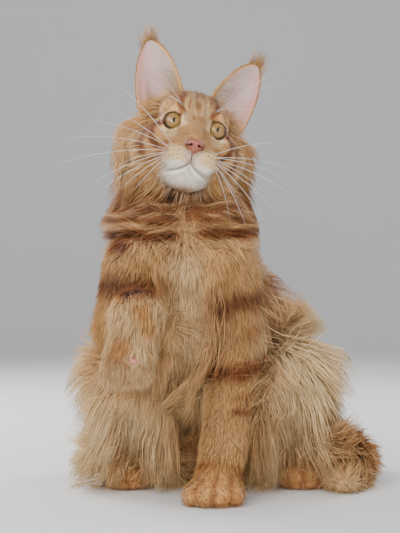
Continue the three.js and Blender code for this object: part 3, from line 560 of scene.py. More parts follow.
def between_toes(p):
    """1 in the gap between two toes, where both are equally near, and how far off the nearest toe is."""
    gap, nearest = np.zeros(len(p)), np.full(len(p), np.inf)
    for toes in TOE_SETS:
        d = np.sort([toe.distance(p) for toe in toes], axis=0) / mm
        to_tip = np.min([np.linalg.norm(p - toe.b, axis=1) for toe in toes], axis=0) / mm
        gap = np.maximum(gap, smooth(4.5, 1, d[1] - d[0]) * smooth(12, 6, d[0]) * smooth(25, 15, to_tip))
        nearest = np.minimum(nearest, d[0])
    return gap, nearest


def band(z, height, width):
    """A level band round the body, at its height, falling softly to 0 at the width."""
    return spot(z, height, width)


print("toes:", sum(len(toes) for toes in TOE_SETS))

# %% Marks of neck and trunk
# The bands of the neck: how high, how wide and how strong.
NECK_BANDS = ((311, 4.5, 0.75), (301.5, 4.5, 0.8), (293, 4.5, 0.9), (283.5, 5.5, 1), (269, 8, 1))


def neck_marks(q, neck, wave):
    """Rust and cream of the neck: bands that break off at the throat, and a small swirl there."""
    x, y, z = q.T
    zw = z + wave
    bands = strongest(*[strength * band(zw, height, width) for height, width, strength in NECK_BANDS])
    off_throat = smooth(2, 16, np.abs(x + 10 + 0.4 * wave) + 12 * smooth(292, 300, z))
    swirl = np.hypot(x + 6 + 0.5 * wave, (z - 288))
    rust = np.maximum(1.1 * neck * bands * off_throat, neck * smooth(40, -5, y) * 0.9 * spot(swirl, 5, 7))
    return rust, 0.25 * neck * spot((zw + 6) % 13, 6, 6)


def trunk_marks(q, trunk, wave):
    """Rust and cream of the trunk: whorls, shoulder bars, a pale chest and painted shadow beside the raised
    paw.
    """
    x, y, z = q.T
    zw = z + wave
    front = smooth(40, -5, y)
    whorl = np.hypot((y - 95) * 0.9, z - 170) + wave
    shoulder = np.maximum(band(zw, 232, 11), band(zw, 190, 17)) * smooth(22, 40, np.abs(x + 14))
    patch = spot(np.hypot((x + 82) / 1.6, z - 257 + 0.6 * wave), 3, 9)
    rust = strongest(
        trunk * smooth(30, 55, y) * 0.8 * spot((whorl + 14) % 40, 20, 13),
        trunk * front * 0.8 * shoulder,
        patch * smooth(70, 40, y),
        # A rust strip on the chest just beside the raised paw: painted shadow between paw and chest.
        0.55 * trunk * front * spot(x + 37, 0, 5) * smooth(150, 168, z) * smooth(212, 200, z),
    )
    cream = 0.9 * trunk * front * smooth(34, 12, np.abs(x + 15 + 0.5 * wave)) * smooth(258, 238, z)
    return rust, cream


print("bands round the neck:", len(NECK_BANDS))

# %% Marks of legs and tail
# The orange patches of the raised paw: how far across, how high and how wide.
PAW_PATCHES = ((-55, 192, 14), (-49, 176, 12), (-74, 158, 14), (-81, 145, 12))


def foreleg_marks(q, flat, left, right, wave):
    """Rust and cream of the forelegs: bars and a wrist arc on the left one, a band on the right one."""
    x, y, z = q.T
    zw = z + wave
    slant = zw - 0.22 * (x - 34) + 8 * (noise(flat, 20, 15) - 0.5)
    bars = strongest(
        band(slant, 197, 15),
        0.7 * band(slant, 165, 7) * smooth(36, 50, x),
        band(slant, 130, 13),
        0.8 * band(slant, 104, 6) * smooth(26, 40, x),
        0.9 * band(slant, 88, 7) * smooth(22, 36, x),
    )
    rust = strongest(
        1.05 * left * bars * smooth(225, 205, z) * smooth(-6, 8, x),
        left * 0.6 * band(z + 0.02 * (x - 16) ** 2, 42, 4) * smooth(10, -4, y),
        right * band(zw, 215, 14),
    )
    return rust, 0.55 * left * smooth(4, 22, y) * smooth(60, 90, z)


def rear_marks(q, hind, tail, to_toes, wave):
    """Rust and cream of the hind legs and the tail: rings, and a pale front of the leg."""
    x, y, z = q.T
    rings = spot((z + wave + 0.25 * y) % 44, 22, 12)
    along = np.arctan2(y - 140, x - 80) * 85
    rust = np.maximum(
        hind * 0.45 * rings * smooth(95, 135, y) * smooth(40, 70, z),
        tail * 0.75 * spot((along + wave) % 42, 21, 14) * smooth(40, 90, y),
    )
    pale_leg = 0.85 * hind * smooth(170, 90, y) * smooth(12, 22, to_toes)
    return rust, np.maximum(pale_leg, 0.5 * tail * smooth(30, 10, z))


print("patches on the raised paw:", len(PAW_PATCHES))


# %% All the marks together
def body_marks(q, p, near):
    """Rust, cream and orange of neck, trunk and limbs, from the cat's own place and the parts' shares."""
    x, y, z = q.T
    flat = p * np.array((1, 0.25, 1))
    wave = 9 * (noise(flat, 42, 2) - 0.5) + 5 * (noise(flat, 15, 3) - 0.5)
    gap, to_toes = between_toes(p)
    neck = near["neck"] + near["trunk"] * smooth(225, 245, z)
    neck = np.maximum(neck, smooth(240, 255, z) * smooth(330, 320, z))
    lifted = near["right_foreleg"] * smooth(206, 194, z) * smooth(0, -30, y)
    marks = (
        neck_marks(q, neck, wave),
        trunk_marks(q, near["trunk"] + 0.6 * near["neck"], wave),
        foreleg_marks(q, flat, near["left_foreleg"], near["right_foreleg"], wave),
        rear_marks(q, near["left_hind"] + near["right_hind"], near["tail"], to_toes, wave),
        # Rust in the gaps between the toes is painted shade in their creases.
        (0.7 * gap, 0.55 * lifted),
    )
    rust, cream = (strongest(*layer) for layer in zip(*marks))
    patches = strongest(
        *[spot(np.hypot(x - px, z - pz) + 0.5 * wave, 0, reach) for px, pz, reach in PAW_PATCHES]
    )
    feet = smooth(22, 8, to_toes) * (0.35 + 0.65 * noise(p, 11, 14))
    return rust, cream, feet * (1 - lifted) + 1.1 * patches * lifted


def markings(p):
    """The coat's colour at each point, in linear numbers, with a little painted shade in it."""
    d = part_distances(p)
    near = nearness(d)
    h, q = head_place(p), cat_place(p)
    rust, cream, feet = body_marks(q, p, near)
    rust_there, cream_there, white = head_marks(h, p)
    head = near["head"] * smooth(48, 34, h[:, 1]) * smooth(-68, -60, h[:, 2])
    rust = np.clip(rust * (1 - head) + rust_there * head, 0, 1.3)
    cream = np.clip(cream * (1 - head) + cream_there * head, 0, 1)
    white = white * head
    mottle = noise(p, 9, 4)[:, None]
    ground = TAN * (0.9 + 0.2 * mottle)
    colour = ground + (CREAM - ground) * cream[:, None]
    colour = colour + (ORANGE - colour) * np.clip(feet, 0, 1)[:, None] * 0.8
    colour = colour + (RUST * (0.85 + 0.3 * mottle) - colour) * np.minimum(rust, 1)[:, None]
    deep = 0.6 * smooth(0.75, 1, rust) * noise(p, 12, 5) + 0.7 * smooth(0.9, 1.3, rust)
    colour = colour + (DEEP - colour) * np.minimum(deep, 1)[:, None]
    return colour + (WHITE - colour) * white[:, None]


def paint_points(piece, colours):
    """Stores a colour for each point of a piece, for its material to read."""
    layer = piece.data.color_attributes.new("coat", "FLOAT_COLOR", "POINT")
    rgba = np.ones((len(colours), 4), dtype=np.float32)
    rgba[:, :3] = np.clip(colours, 0, 1)
    layer.data.foreach_set("color", rgba.ravel())


print("colour of the chest, in linear numbers:", markings(at(0, 0, 240)[None])[0].round(3))

# %% [markdown]
# ## The skin
#
# All the masses are added as primitives and joined, and a voxel remesh melts them into one closed mesh.
# The remesh is a little lumpy, so each point is then moved straight onto the blended body. The face needs a
# finer mesh than the flanks, so its faces are subdivided before the lids and the mouth are shaped.

# %% Block out and remesh
SKIN_VOXEL = 3.4


def melt(masses, name, voxel):
    """Adds masses as primitives, joins them and melts them into one closed mesh. The voxel is in mm."""
    made = [piece for mass in masses for piece in mass.add()]
    bpy.ops.object.select_all(action="DESELECT")
    for piece in made:
        piece.select_set(True)
    bpy.context.view_layer.objects.active = made[0]
    bpy.ops.object.join()
    whole = bpy.context.object
    whole.name = name
    bpy.ops.object.transform_apply(location=True, rotation=True, scale=True)
    remesh = whole.modifiers.new("melt", "REMESH")
    remesh.mode = "VOXEL"
    remesh.voxel_size = voxel * mm
    bpy.ops.object.modifier_apply(modifier=remesh.name)
    return whole


skin = melt([mass for masses, _ in FLESH.values() for mass in masses], "skin", SKIN_VOXEL)
print("skin after the remesh:", len(skin.data.vertices), "points")


# %% Lay it on the body
def points_of(piece):
    flat = np.empty(len(piece.data.vertices) * 3)
    piece.data.vertices.foreach_get("co", flat)
    return flat.reshape(-1, 3)


def put_points(piece, p):
    piece.data.vertices.foreach_set("co", np.ascontiguousarray(p, dtype=np.float32).ravel())
    piece.data.update()


def normals_of(piece):
    flat = np.empty(len(piece.data.vertices) * 3)
    piece.data.vertices.foreach_get("normal", flat)
    return flat.reshape(-1, 3)


def lay_on(field, p, rounds=3):
    """Moves points straight in or out until they lie on a field."""
    for _ in range(rounds):
        p = p - slope(field, p) * field(p)[:, None]
    return p


put_points(skin, lay_on(body, points_of(skin)))


def refine(piece, choose):
    """Cuts each face whose middle is chosen into four."""
    mesh = piece.data
    middles = np.empty(len(mesh.polygons) * 3)
    mesh.polygons.foreach_get("center", middles)
    bpy.ops.object.select_all(action="DESELECT")
    piece.select_set(True)
    bpy.context.view_layer.objects.active = piece
    bpy.ops.object.mode_set(mode="EDIT")
    bpy.ops.mesh.select_mode(type="FACE")
    bpy.ops.mesh.select_all(action="DESELECT")
    bpy.ops.object.mode_set(mode="OBJECT")
    mesh.polygons.foreach_set("select", choose(middles.reshape(-1, 3)))
    bpy.ops.object.mode_set(mode="EDIT")
    bpy.ops.mesh.subdivide(number_cuts=1, smoothness=0)
    bpy.ops.object.mode_set(mode="OBJECT")


def on_face(p, front, spread=70, low=-72):
    h = head_place(p)
    return (h[:, 1] < front) & (np.abs(h[:, 0]) < spread) & (h[:, 2] > low) & (h[:, 2] < 60)


refine(skin, lambda p: on_face(p, 26))
refine(skin, lambda p: on_face(p, 2, 40, -68))
print("skin with a finer face:", len(skin.data.vertices), "points")

# %% [markdown]
# ## Lids, mouth and whisker pads
#
# A cat's lids hug the eyeball, its lips part in an upside-down Y under the nose, and the whisker pads swell
# on either side. They could be sculpted by hand. Here each is a small push in or out of the skin as a
# function of place, so that one number changes it on both sides.

# %% The opening of the eyes
EYE_SPACING = 44.6
EYE_WIDTH, EYE_HEIGHT = 18.9, 17.5
LID = 1.5
LID_REACH = EYE_RADIUS / mm + LID
NEAR_BALL = 17
INNER_CORNER = math.radians(200)  # the opening is drawn out here, down towards the nose
CORNER_SWELL = 0.2


def round_eyes(h, on_ball=False):
    """How far across its eye's opening each head point lies, 1 at the rim, and its place from that eye.

    Points near the ball can be carried straight in or out to it first.
    """
    side = np.sign(h[:, 0]) + (h[:, 0] == 0)
    e = h - np.stack([side * EYE_SPACING / 2, 0 * side, 0 * side], axis=1)
    across, height = e[:, 0] * side, e[:, 2]
    if on_ball:
        reach = np.linalg.norm(e, axis=1)
        scale = np.where(reach < NEAR_BALL, LID_REACH / np.maximum(reach, 1e-6), 1)
        across, height = across * scale, height * scale
    angle = np.arctan2(height / EYE_HEIGHT, across / EYE_WIDTH)
    corner = np.maximum(np.cos(angle - INNER_CORNER), 0) ** 10
    share = np.hypot(across / (EYE_WIDTH / 2), height / (EYE_HEIGHT / 2)) / (1 + CORNER_SWELL * corner)
    return share, e


outer_corner = np.array([(EYE_SPACING / 2 + EYE_WIDTH / 2, 0, 0)])
print("the outer corner of an eye lies", round_eyes(outer_corner)[0][0].round(2), "across its opening")


# %% Shape the face
def shape_face(p):
    """Head detail over the plain masses: lids that wrap the eyeballs, the mouth and the whisker pads."""
    h = head_place(p)
    near_head = (np.linalg.norm(h, axis=1) < 110) & (h[:, 1] < 30)
    x, y, z = h.T
    ax = np.abs(x)
    out = np.zeros(len(p))
    front = smooth(-8, -16, y)
    lip = np.abs(z - mouth_height(ax)) * 0.92
    out -= 1.9 * front * (1 - smooth(0, 1.6, lip)) * smooth(26, 20, ax)
    out += 0.9 * front * spot(z, mouth_height(ax) + 4.5, 5) * smooth(2, 6, ax) * smooth(27, 18, ax)
    out += 0.8 * front * spot(z, mouth_height(ax) - 3.5, 4) * smooth(18, 12, ax)
    groove = (1 - smooth(0, 1.2, ax)) * smooth(-43, -41, z) * smooth(-31, -34, z)
    out -= 1.4 * front * groove
    out -= 1.2 * spot(ax, 11.5, 6) * spot(z, -9, 9) * smooth(0, -8, y)
    out += 1.0 * spot(np.hypot(ax - 21, z - 11.5), 0, 8) * smooth(12, 0, y)
    n = slope(body, p)
    p = p + n * (out * near_head)[:, None] * mm
    h = head_place(p)
    share, e = round_eyes(h)
    opening, _ = round_eyes(h, on_ball=True)
    reach = np.linalg.norm(e, axis=1)
    away = e / np.maximum(reach, 1e-6)[:, None]
    by_eye = (reach < 24) & (e[:, 1] < 2)
    rim = (1 - smooth(0.99, 1.08, opening)) * (e[:, 1] < -3)
    inside = EYE_RADIUS / mm - 1.4
    close = smooth(2.0, 1.4, share)
    snug = np.minimum(reach, LID_REACH + 9 * np.maximum(share - 1, 0) ** 1.1)
    lid = np.maximum(reach * (1 - close) + snug * close, LID_REACH)
    wanted = lid * (1 - rim) + inside * rim
    moved = away * (wanted - reach)[:, None]
    return p + np.where(by_eye[:, None], (moved @ HEAD_TURN.T) * mm, 0)


def on_floor(p, clearance=0.4):
    p = p.copy()
    p[:, 2] = np.maximum(p[:, 2], clearance * mm)
    return p


put_points(skin, on_floor(shape_face(lay_on(body, points_of(skin), rounds=2))))
bpy.ops.object.shade_smooth()
print("lowest place of the skin, mm:", round(float(points_of(skin)[:, 2].min()) / mm, 2))

# %% Paint the skin
skin_points = points_of(skin)
skin_colours = markings(skin_points)
h = head_place(skin_points)
share, _ = round_eyes(h, on_ball=True)
_, from_eye = round_eyes(h)
lid_dark = (1 - smooth(1.06, 1.14, share)) * (h[:, 1] < 2)
lid_dark *= smooth(LID_REACH + 1.2, LID_REACH + 0.4, np.linalg.norm(from_eye, axis=1))
aside, up = np.abs(h[:, 0]), h[:, 2]
mouth_line = (1 - smooth(0.3, 1.1, np.abs(up - mouth_height(aside)))) * smooth(24, 19, aside)
groove_line = (1 - smooth(0.3, 1.2, aside)) * smooth(-42, -41, up) * smooth(-32, -34, up)
lip_dark = np.maximum(mouth_line, groove_line) * smooth(-8, -14, h[:, 1])
LID_BROWN = paint(74, 45, 29)
LIP_BROWN = paint(96, 66, 56)
skin_colours += (LIP_BROWN - skin_colours) * lip_dark[:, None]
skin_colours += (LID_BROWN - skin_colours) * lid_dark[:, None]
paint_points(skin, skin_colours)
print("skin painted")

# %% [markdown]
# ## The skin's finish
#
# Short fur that lies flat is too fine to model hair by hair, so the skin's own finish shows it: the painted
# colour, a fine streaky variation, a fine bump and a soft sheen. The skin is also
# unwrapped, because each tuft will note where on this unwrap it grows.

# %% Unwrap
bpy.ops.object.select_all(action="DESELECT")
skin.select_set(True)
bpy.context.view_layer.objects.active = skin
bpy.ops.object.mode_set(mode="EDIT")
bpy.ops.mesh.select_all(action="SELECT")
bpy.ops.uv.smart_project(angle_limit=math.radians(66), island_margin=0.002)
bpy.ops.object.mode_set(mode="OBJECT")
skin.data.uv_layers[0].name = "OFBake"
print("corners on the unwrap:", len(skin.data.uv_layers["OFBake"].data))


# %% Coat finish
def coat_material(name, roughness=0.62, sheen=0.25, bump=0.0, grain=1400, tint_spread=0.16):
    """The painted colour with fine variation. A bump is only for skin that shows as short fur."""
    material = bpy.data.materials.new(name)
    material.use_nodes = True
    nodes, links = material.node_tree.nodes, material.node_tree.links
    shader = nodes["Principled BSDF"]
    shader.inputs["Roughness"].default_value = roughness
    shader.inputs["Specular IOR Level"].default_value = 0.25
    shader.inputs["Sheen Weight"].default_value = sheen
    shader.inputs["Sheen Roughness"].default_value = 0.5
    painted = nodes.new("ShaderNodeAttribute")
    painted.attribute_name = "coat"
    place = nodes.new("ShaderNodeTexCoord")
    streaks = nodes.new("ShaderNodeTexNoise")
    streaks.inputs["Scale"].default_value = grain
    streaks.inputs["Detail"].default_value = 2
    shade = nodes.new("ShaderNodeMapRange")
    shade.inputs["From Min"].default_value = 0.3
    shade.inputs["From Max"].default_value = 0.7
    shade.inputs["To Min"].default_value = 1 - tint_spread
    shade.inputs["To Max"].default_value = 1 + tint_spread
    tinted = nodes.new("ShaderNodeVectorMath")
    tinted.operation = "SCALE"
    links.new(place.outputs["Object"], streaks.inputs["Vector"])
    links.new(streaks.outputs["Fac"], shade.inputs["Value"])
    links.new(painted.outputs["Color"], tinted.inputs[0])
    links.new(shade.outputs["Result"], tinted.inputs["Scale"])
    links.new(tinted.outputs["Vector"], shader.inputs["Base Color"])
    if bump:
        relief = nodes.new("ShaderNodeBump")
        relief.inputs["Strength"].default_value = bump
        relief.inputs["Distance"].default_value = 0.6 * mm
        links.new(streaks.outputs["Fac"], relief.inputs["Height"])
        links.new(relief.outputs["Normal"], shader.inputs["Normal"])
    return material


skin.data.materials.append(coat_material("short_fur", bump=0.5))
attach(skin, "root")
FLESH_NODES = ["head", "neck", "torso", "foreleg_left", "foreleg_right", "forepaw_left", "forepaw_right",
               "thigh_left", "thigh_right", "hindpaw_left", "hindpaw_right",
               "tail_base", "tail_middle", "tail_tip"]
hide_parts(*FLESH_NODES)
print("the skin stands for", len(FLESH_NODES), "parts")

# %% [markdown]
# ## Eyes
#
# A cat's eye is a ball with a bulging clear cornea, and a golden iris round an upright slit. Each eyeball
# is a sphere whose front is drawn out, with a wet gloss. Its colours are rings round the axis, so the ball
# gets a flat map, seen from straight in front of that eye, for them to follow. A dark rim lies round the
# opening.

# %% Iris and pupil
PUPIL = (1.15, 2.7)  # half the slit's width and height
GAZE = (0.3, 0.7)  # how far the pupil stands off the middle, towards the cat's left and up
EYE_BOX = 24 * mm  # the side of the square that the flat map shows
# Each ring of the iris: how far out it lies on the map, and its colour in linear numbers.
IRIS_RINGS = (
    (0.0, (0.15, 0.085, 0.02)), (0.11, (0.30, 0.172, 0.042)), (0.27, (0.25, 0.14, 0.034)),
    (0.34, (0.07, 0.04, 0.014)), (0.37, (0.010, 0.006, 0.004)),
)


def iris_colour(nodes, links, centred):
    """Golden rings, with fine fibres that run outward from the middle."""
    ring = nodes.new("ShaderNodeVectorMath")
    ring.operation = "LENGTH"
    links.new(centred, ring.inputs[0])
    rings = nodes.new("ShaderNodeValToRGB")
    while len(rings.color_ramp.elements) < len(IRIS_RINGS):
        rings.color_ramp.elements.new(0.5)
    for element, (place, colour) in zip(rings.color_ramp.elements, IRIS_RINGS):
        element.position = place
        element.color = (*colour, 1)
    links.new(ring.outputs["Value"], rings.inputs["Fac"])
    turned = nodes.new("ShaderNodeVectorMath")
    turned.operation = "NORMALIZE"
    links.new(centred, turned.inputs[0])
    fibres = nodes.new("ShaderNodeTexNoise")
    fibres.inputs["Scale"].default_value = 14
    fibres.inputs["Detail"].default_value = 4
    links.new(turned.outputs["Vector"], fibres.inputs["Vector"])
    streak = nodes.new("ShaderNodeMapRange")
    streak.inputs["To Min"].default_value = 0.6
    streak.inputs["To Max"].default_value = 1.4
    links.new(fibres.outputs["Fac"], streak.inputs["Value"])
    iris = nodes.new("ShaderNodeVectorMath")
    iris.operation = "SCALE"
    links.new(rings.outputs["Color"], iris.inputs[0])
    links.new(streak.outputs["Result"], iris.inputs["Scale"])
    return iris.outputs["Vector"]


def outside_slit(nodes, links, centred):
    """0 in the upright slit of the pupil and 1 outside it, with a soft edge."""
    slit = nodes.new("ShaderNodeVectorMath")
    slit.operation = "MULTIPLY"
    across = EYE_BOX / mm
    slit.inputs[1].default_value = (across / PUPIL[0], across / PUPIL[1], 0)
    links.new(centred, slit.inputs[0])
    slit_reach = nodes.new("ShaderNodeVectorMath")
    slit_reach.operation = "LENGTH"
    links.new(slit.outputs["Vector"], slit_reach.inputs[0])
    edge = nodes.new("ShaderNodeMapRange")
    edge.inputs["From Min"].default_value = 0.92
    edge.inputs["From Max"].default_value = 1.12
    links.new(slit_reach.outputs["Value"], edge.inputs["Value"])
    return edge.outputs["Result"]


# %% Eye finish
def eye_material():
    material = bpy.data.materials.new("eye_gold")
    material.use_nodes = True
    nodes, links = material.node_tree.nodes, material.node_tree.links
    shader = nodes["Principled BSDF"]
    shader.inputs["Roughness"].default_value = 0.5
    shader.inputs["Specular IOR Level"].default_value = 0.1
    shader.inputs["Coat Weight"].default_value = 1.0
    shader.inputs["Coat Roughness"].default_value = 0.02
    flat = nodes.new("ShaderNodeUVMap")
    flat.uv_map = "front"
    centred = nodes.new("ShaderNodeVectorMath")
    centred.operation = "SUBTRACT"
    centred.inputs[1].default_value = (0.5, 0.5, 0)
    links.new(flat.outputs["UV"], centred.inputs[0])
    iris = iris_colour(nodes, links, centred.outputs["Vector"])
    outside = outside_slit(nodes, links, centred.outputs["Vector"])
    whole = nodes.new("ShaderNodeMix")
    whole.data_type = "RGBA"
    whole.inputs["A"].default_value = (0.004, 0.004, 0.004, 1)
    links.new(outside, whole.inputs["Factor"])
    links.new(iris, whole.inputs["B"])
    links.new(whole.outputs["Result"], shader.inputs["Base Color"])
    return material


eye_gold = eye_material()
print("eye finish:", len(eye_gold.node_tree.nodes), "nodes")

# %% Eyeballs
CORNEA_BULGE = 0.075
BACK_ON_MAP = 0.97  # where the back of a ball lies on its map, past the last ring


def add_eyeball(name, side):
    centre = in_head(side * EYE_SPACING / 2, 0, 0)
    bpy.ops.mesh.primitive_uv_sphere_add(segments=64, ring_count=48, radius=EYE_RADIUS, location=centre)
    ball = bpy.context.object
    ball.name = "eyeball_" + name
    bpy.ops.object.transform_apply(location=True)
    local = (points_of(ball) - centre) @ HEAD_TURN / mm
    face_on = smooth(0.35, 0.8, -local[:, 1] / (EYE_RADIUS / mm))
    local *= 1 + CORNEA_BULGE * face_on[:, None]
    put_points(ball, centre + local @ HEAD_TURN.T * mm)
    bpy.ops.object.shade_smooth()
    flat = ball.data.uv_layers[0]
    flat.name = "front"
    corners = np.empty(len(ball.data.loops), dtype=np.int32)
    ball.data.loops.foreach_get("vertex_index", corners)
    shown = np.stack([local[:, 0] - GAZE[0], local[:, 2] - GAZE[1]], axis=1) / (EYE_BOX / mm) + 0.5
    shown = np.where(local[:, 1:2] < 0, shown, BACK_ON_MAP)
    flat.data.foreach_set("uv", shown[corners].astype(np.float32).ravel())
    ball.data.materials.append(eye_gold)
    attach(ball, "root")
    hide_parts("eye_" + name)


# %% Lid rims
RIM_TUBE = 0.1


def lid_point(side, angle, reach, grow):
    """A point of the rim of an eye's opening, at a reach from the eye's centre, in head millimetres."""
    corner = max(math.cos(angle - INNER_CORNER), 0) ** 10
    swell = grow * (1 + CORNER_SWELL * corner)
    across = math.cos(angle) * EYE_WIDTH / 2 * swell
    height = math.sin(angle) * EYE_HEIGHT / 2 * swell
    deep = -math.sqrt(max(reach**2 - across**2 - height**2, 1.0))
    return side * (EYE_SPACING / 2 + across), deep, height


def add_lid_rim(name, side):
    """A ring whose points are carried to the edge of the lids."""
    bpy.ops.mesh.primitive_torus_add(
        major_segments=72, minor_segments=8, major_radius=1, minor_radius=RIM_TUBE
    )
    rim = bpy.context.object
    rim.name = "lid_rim_" + name
    placed = []
    for x, y, z in points_of(rim):
        angle = math.atan2(y, x)
        out = (math.hypot(x, y) - 1) / RIM_TUBE
        up = z / RIM_TUBE
        thick = 0.85 + 0.3 * math.sin(angle)
        reach = EYE_RADIUS / mm * 1.03 + 0.5 + 0.6 * up
        placed.append(in_head(*lid_point(side, angle, reach, 1.01 + 0.05 * thick * out)))
    put_points(rim, np.array(placed))
    bpy.ops.object.mode_set(mode="EDIT")
    bpy.ops.mesh.select_all(action="SELECT")
    bpy.ops.mesh.normals_make_consistent(inside=False)
    bpy.ops.object.mode_set(mode="OBJECT")
    bpy.ops.object.shade_smooth()
    paint_points(rim, np.tile(LID_BROWN, (len(placed), 1)))
    rim.data.materials.append(lid_brown)
    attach(rim, "root")


lid_brown = coat_material("lid_rim", roughness=0.35, sheen=0.0, tint_spread=0.1)
for name, side in (("left", 1), ("right", -1)):
    add_eyeball(name, side)
    add_lid_rim(name, side)
print("eyes made")

# %% [markdown]
# ## Nose leather
#
# The bare nose is a soft wedge with two comma-shaped nostrils and a groove down its middle. Its masses are
# melted like the skin, with a much finer voxel, and the nostrils are pressed in. The leather has a fine
# pebble grain and a slight moist gloss.

# %% Nose
NOSE_VOXEL = 0.45
NOSE_MASSES = [
    head_egg(0, -36.6, -22.3, 8.8, 6.4, 4.0),
    *both(lambda s: head_egg(s * 5.0, -36.6, -25.0, 4.7, 5.4, 4.0)),
    Bar(in_head(0, -38, -25), in_head(0, -37.4, -31.5), 4.0, 2.1),
]


def nose_field(p):
    """How far each point lies outside the nose."""
    return blend(3, [m.distance(p) for m in NOSE_MASSES])


nose = melt(NOSE_MASSES, "nose_leather", NOSE_VOXEL)
p = lay_on(nose_field, points_of(nose))
x, y, z = head_place(p).T
ax = np.abs(x)
nostril = spot(np.hypot((ax - 4.2 + 0.35 * (z + 26)) / 1.4, (z + 26.0) / 1.4), 0, 1.5) * smooth(-36, -39, y)
comma = spot(np.hypot((ax - 6.5) / 2.4, (z + 26.4 + 0.25 * (ax - 6)) / 0.9), 0, 1.3) * smooth(-30, -34, y)
groove = (1 - smooth(0, 0.9, ax)) * smooth(-22, -25, z)
p -= slope(nose_field, p) * (3.2 * nostril + 1.6 * comma + 0.7 * groove)[:, None] * mm
put_points(nose, p)
bpy.ops.object.shade_smooth()
NOSE_PINK, NOSE_DARK, NOSE_EDGE = paint(154, 87, 72), paint(54, 24, 18), paint(120, 66, 48)
edge = smooth(5.5, 9.2, np.hypot(ax, 1.1 * (z + 24.5)))
colours = NOSE_PINK + (NOSE_EDGE - NOSE_PINK) * edge[:, None]
# The nostrils' hollows are painted near-black: painted shade inside them.
dark = np.clip(1.2 * nostril + 0.9 * comma, 0, 1)
paint_points(nose, colours + (NOSE_DARK - colours) * dark[:, None])


def leather_material(name, roughness, grain):
    """Bare skin: the painted colour, a pebble grain and light that sinks in a little."""
    material = bpy.data.materials.new(name)
    material.use_nodes = True
    nodes, links = material.node_tree.nodes, material.node_tree.links
    shader = nodes["Principled BSDF"]
    shader.inputs["Roughness"].default_value = roughness
    shader.inputs["Subsurface Weight"].default_value = 0.15
    shader.inputs["Subsurface Radius"].default_value = (1.0, 0.35, 0.2)
    shader.inputs["Subsurface Scale"].default_value = 2 * mm
    painted = nodes.new("ShaderNodeAttribute")
    painted.attribute_name = "coat"
    links.new(painted.outputs["Color"], shader.inputs["Base Color"])
    place = nodes.new("ShaderNodeTexCoord")
    pebbles = nodes.new("ShaderNodeTexVoronoi")
    pebbles.inputs["Scale"].default_value = grain
    relief = nodes.new("ShaderNodeBump")
    relief.inputs["Strength"].default_value = 0.35
    relief.inputs["Distance"].default_value = 0.3 * mm
    links.new(place.outputs["Object"], pebbles.inputs["Vector"])
    links.new(pebbles.outputs["Distance"], relief.inputs["Height"])
    links.new(relief.outputs["Normal"], shader.inputs["Normal"])
    return material


nose.data.materials.append(leather_material("nose_pink", 0.42, 1300))
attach(nose, "root")
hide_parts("nose")
print("nose made:", len(nose.data.polygons), "faces")

# %% [markdown]
# ## Ears
#
# A Maine Coon's ear is tall, wide at its base and set upright. It starts as a flat grid. Each row of the
# grid becomes one cross-section of the cup, which narrows to the tip. Solidify gives the sheet its wall.

# %% The shape of an ear
EAR_INNER, EAR_OUTER, EAR_TIP = (17, 32, 43), (55, 45, 17), (58, 46, 87)
EAR_ROOT = 0.28  # how far the sheet goes on below the base, beside the ear's height
EAR_CUP = 17
EAR_WALL = 2.4
EAR_LILAC, EAR_PINK = paint(188, 164, 160), paint(194, 146, 132)


def ear_frame():
    """The middle of the ear's base, the way up to its tip and the way out to its outer edge."""
    inner, outer, tip = (np.array(e, dtype=float) for e in (EAR_INNER, EAR_OUTER, EAR_TIP))
    base = (inner + outer) / 2
    return base, tip - base, (outer - inner) / 2


def ear_width(v):
    """How wide the ear is at each height, beside its base."""
    return np.where(v < 0, 1, np.maximum((1 - np.clip(v, 0, 1) ** 2) ** 0.62, 0.06))


def ear_point(u, v):
    """A point of the ear in head millimetres: u runs from inner to outer edge, v from base to tip."""
    base, rise, across = ear_frame()
    away = np.cross(across, rise)
    away *= np.sign(away[1]) / np.linalg.norm(away)
    u, v = np.asarray(u), np.asarray(v)
    width = ear_width(v)
    depth = EAR_CUP * (1 - 0.8 * np.maximum(v, 0))
    sag = depth * (1 - u * u) * width
    return base + v[..., None] * rise + (u * width)[..., None] * across + sag[..., None] * away


print("ear height, mm:", round(float(np.linalg.norm(ear_frame()[1])), 1))


# %% Ear cups
def ear_piece(name, side):
    """One ear: a grid bent into the cup, with the fold at its outer edge and a rib, and given its wall."""
    bpy.ops.mesh.primitive_grid_add(x_subdivisions=28, y_subdivisions=40, size=2)
    ear = bpy.context.object
    ear.name = "ear_" + name + "_cup"
    grid = points_of(ear)
    u, v = grid[:, 0], -EAR_ROOT + (1 + EAR_ROOT) * (grid[:, 1] + 1) / 2
    places = ear_point(u, v)
    fold = 1.6 * spot(np.abs(u - 0.62), 0, 0.16) * smooth(0.62, 0.2, v) * smooth(-0.1, 0.1, v)
    rib = 0.9 * np.exp(-(((u + 0.25 - 0.35 * v) / 0.10) ** 2)) * smooth(0.85, 0.3, v)
    places[:, 1] -= fold + rib
    places[:, 0] *= side
    put_points(ear, EYES + places @ HEAD_TURN.T * mm)
    bpy.ops.object.mode_set(mode="EDIT")
    bpy.ops.mesh.select_all(action="SELECT")
    bpy.ops.mesh.normals_make_consistent(inside=False)
    bpy.ops.object.mode_set(mode="OBJECT")
    facing = (normals_of(ear) @ HEAD_TURN)[:, 1].mean()
    if facing > 0:
        bpy.ops.object.mode_set(mode="EDIT")
        bpy.ops.mesh.flip_normals()
        bpy.ops.object.mode_set(mode="OBJECT")
    wall = ear.modifiers.new("wall", "SOLIDIFY")
    wall.thickness = EAR_WALL * mm
    wall.offset = -1
    bpy.ops.object.modifier_apply(modifier=wall.name)
    soft = ear.modifiers.new("soft", "SUBSURF")
    soft.levels = soft.render_levels = 1
    bpy.ops.object.modifier_apply(modifier=soft.name)
    bpy.ops.object.shade_smooth()
    return ear


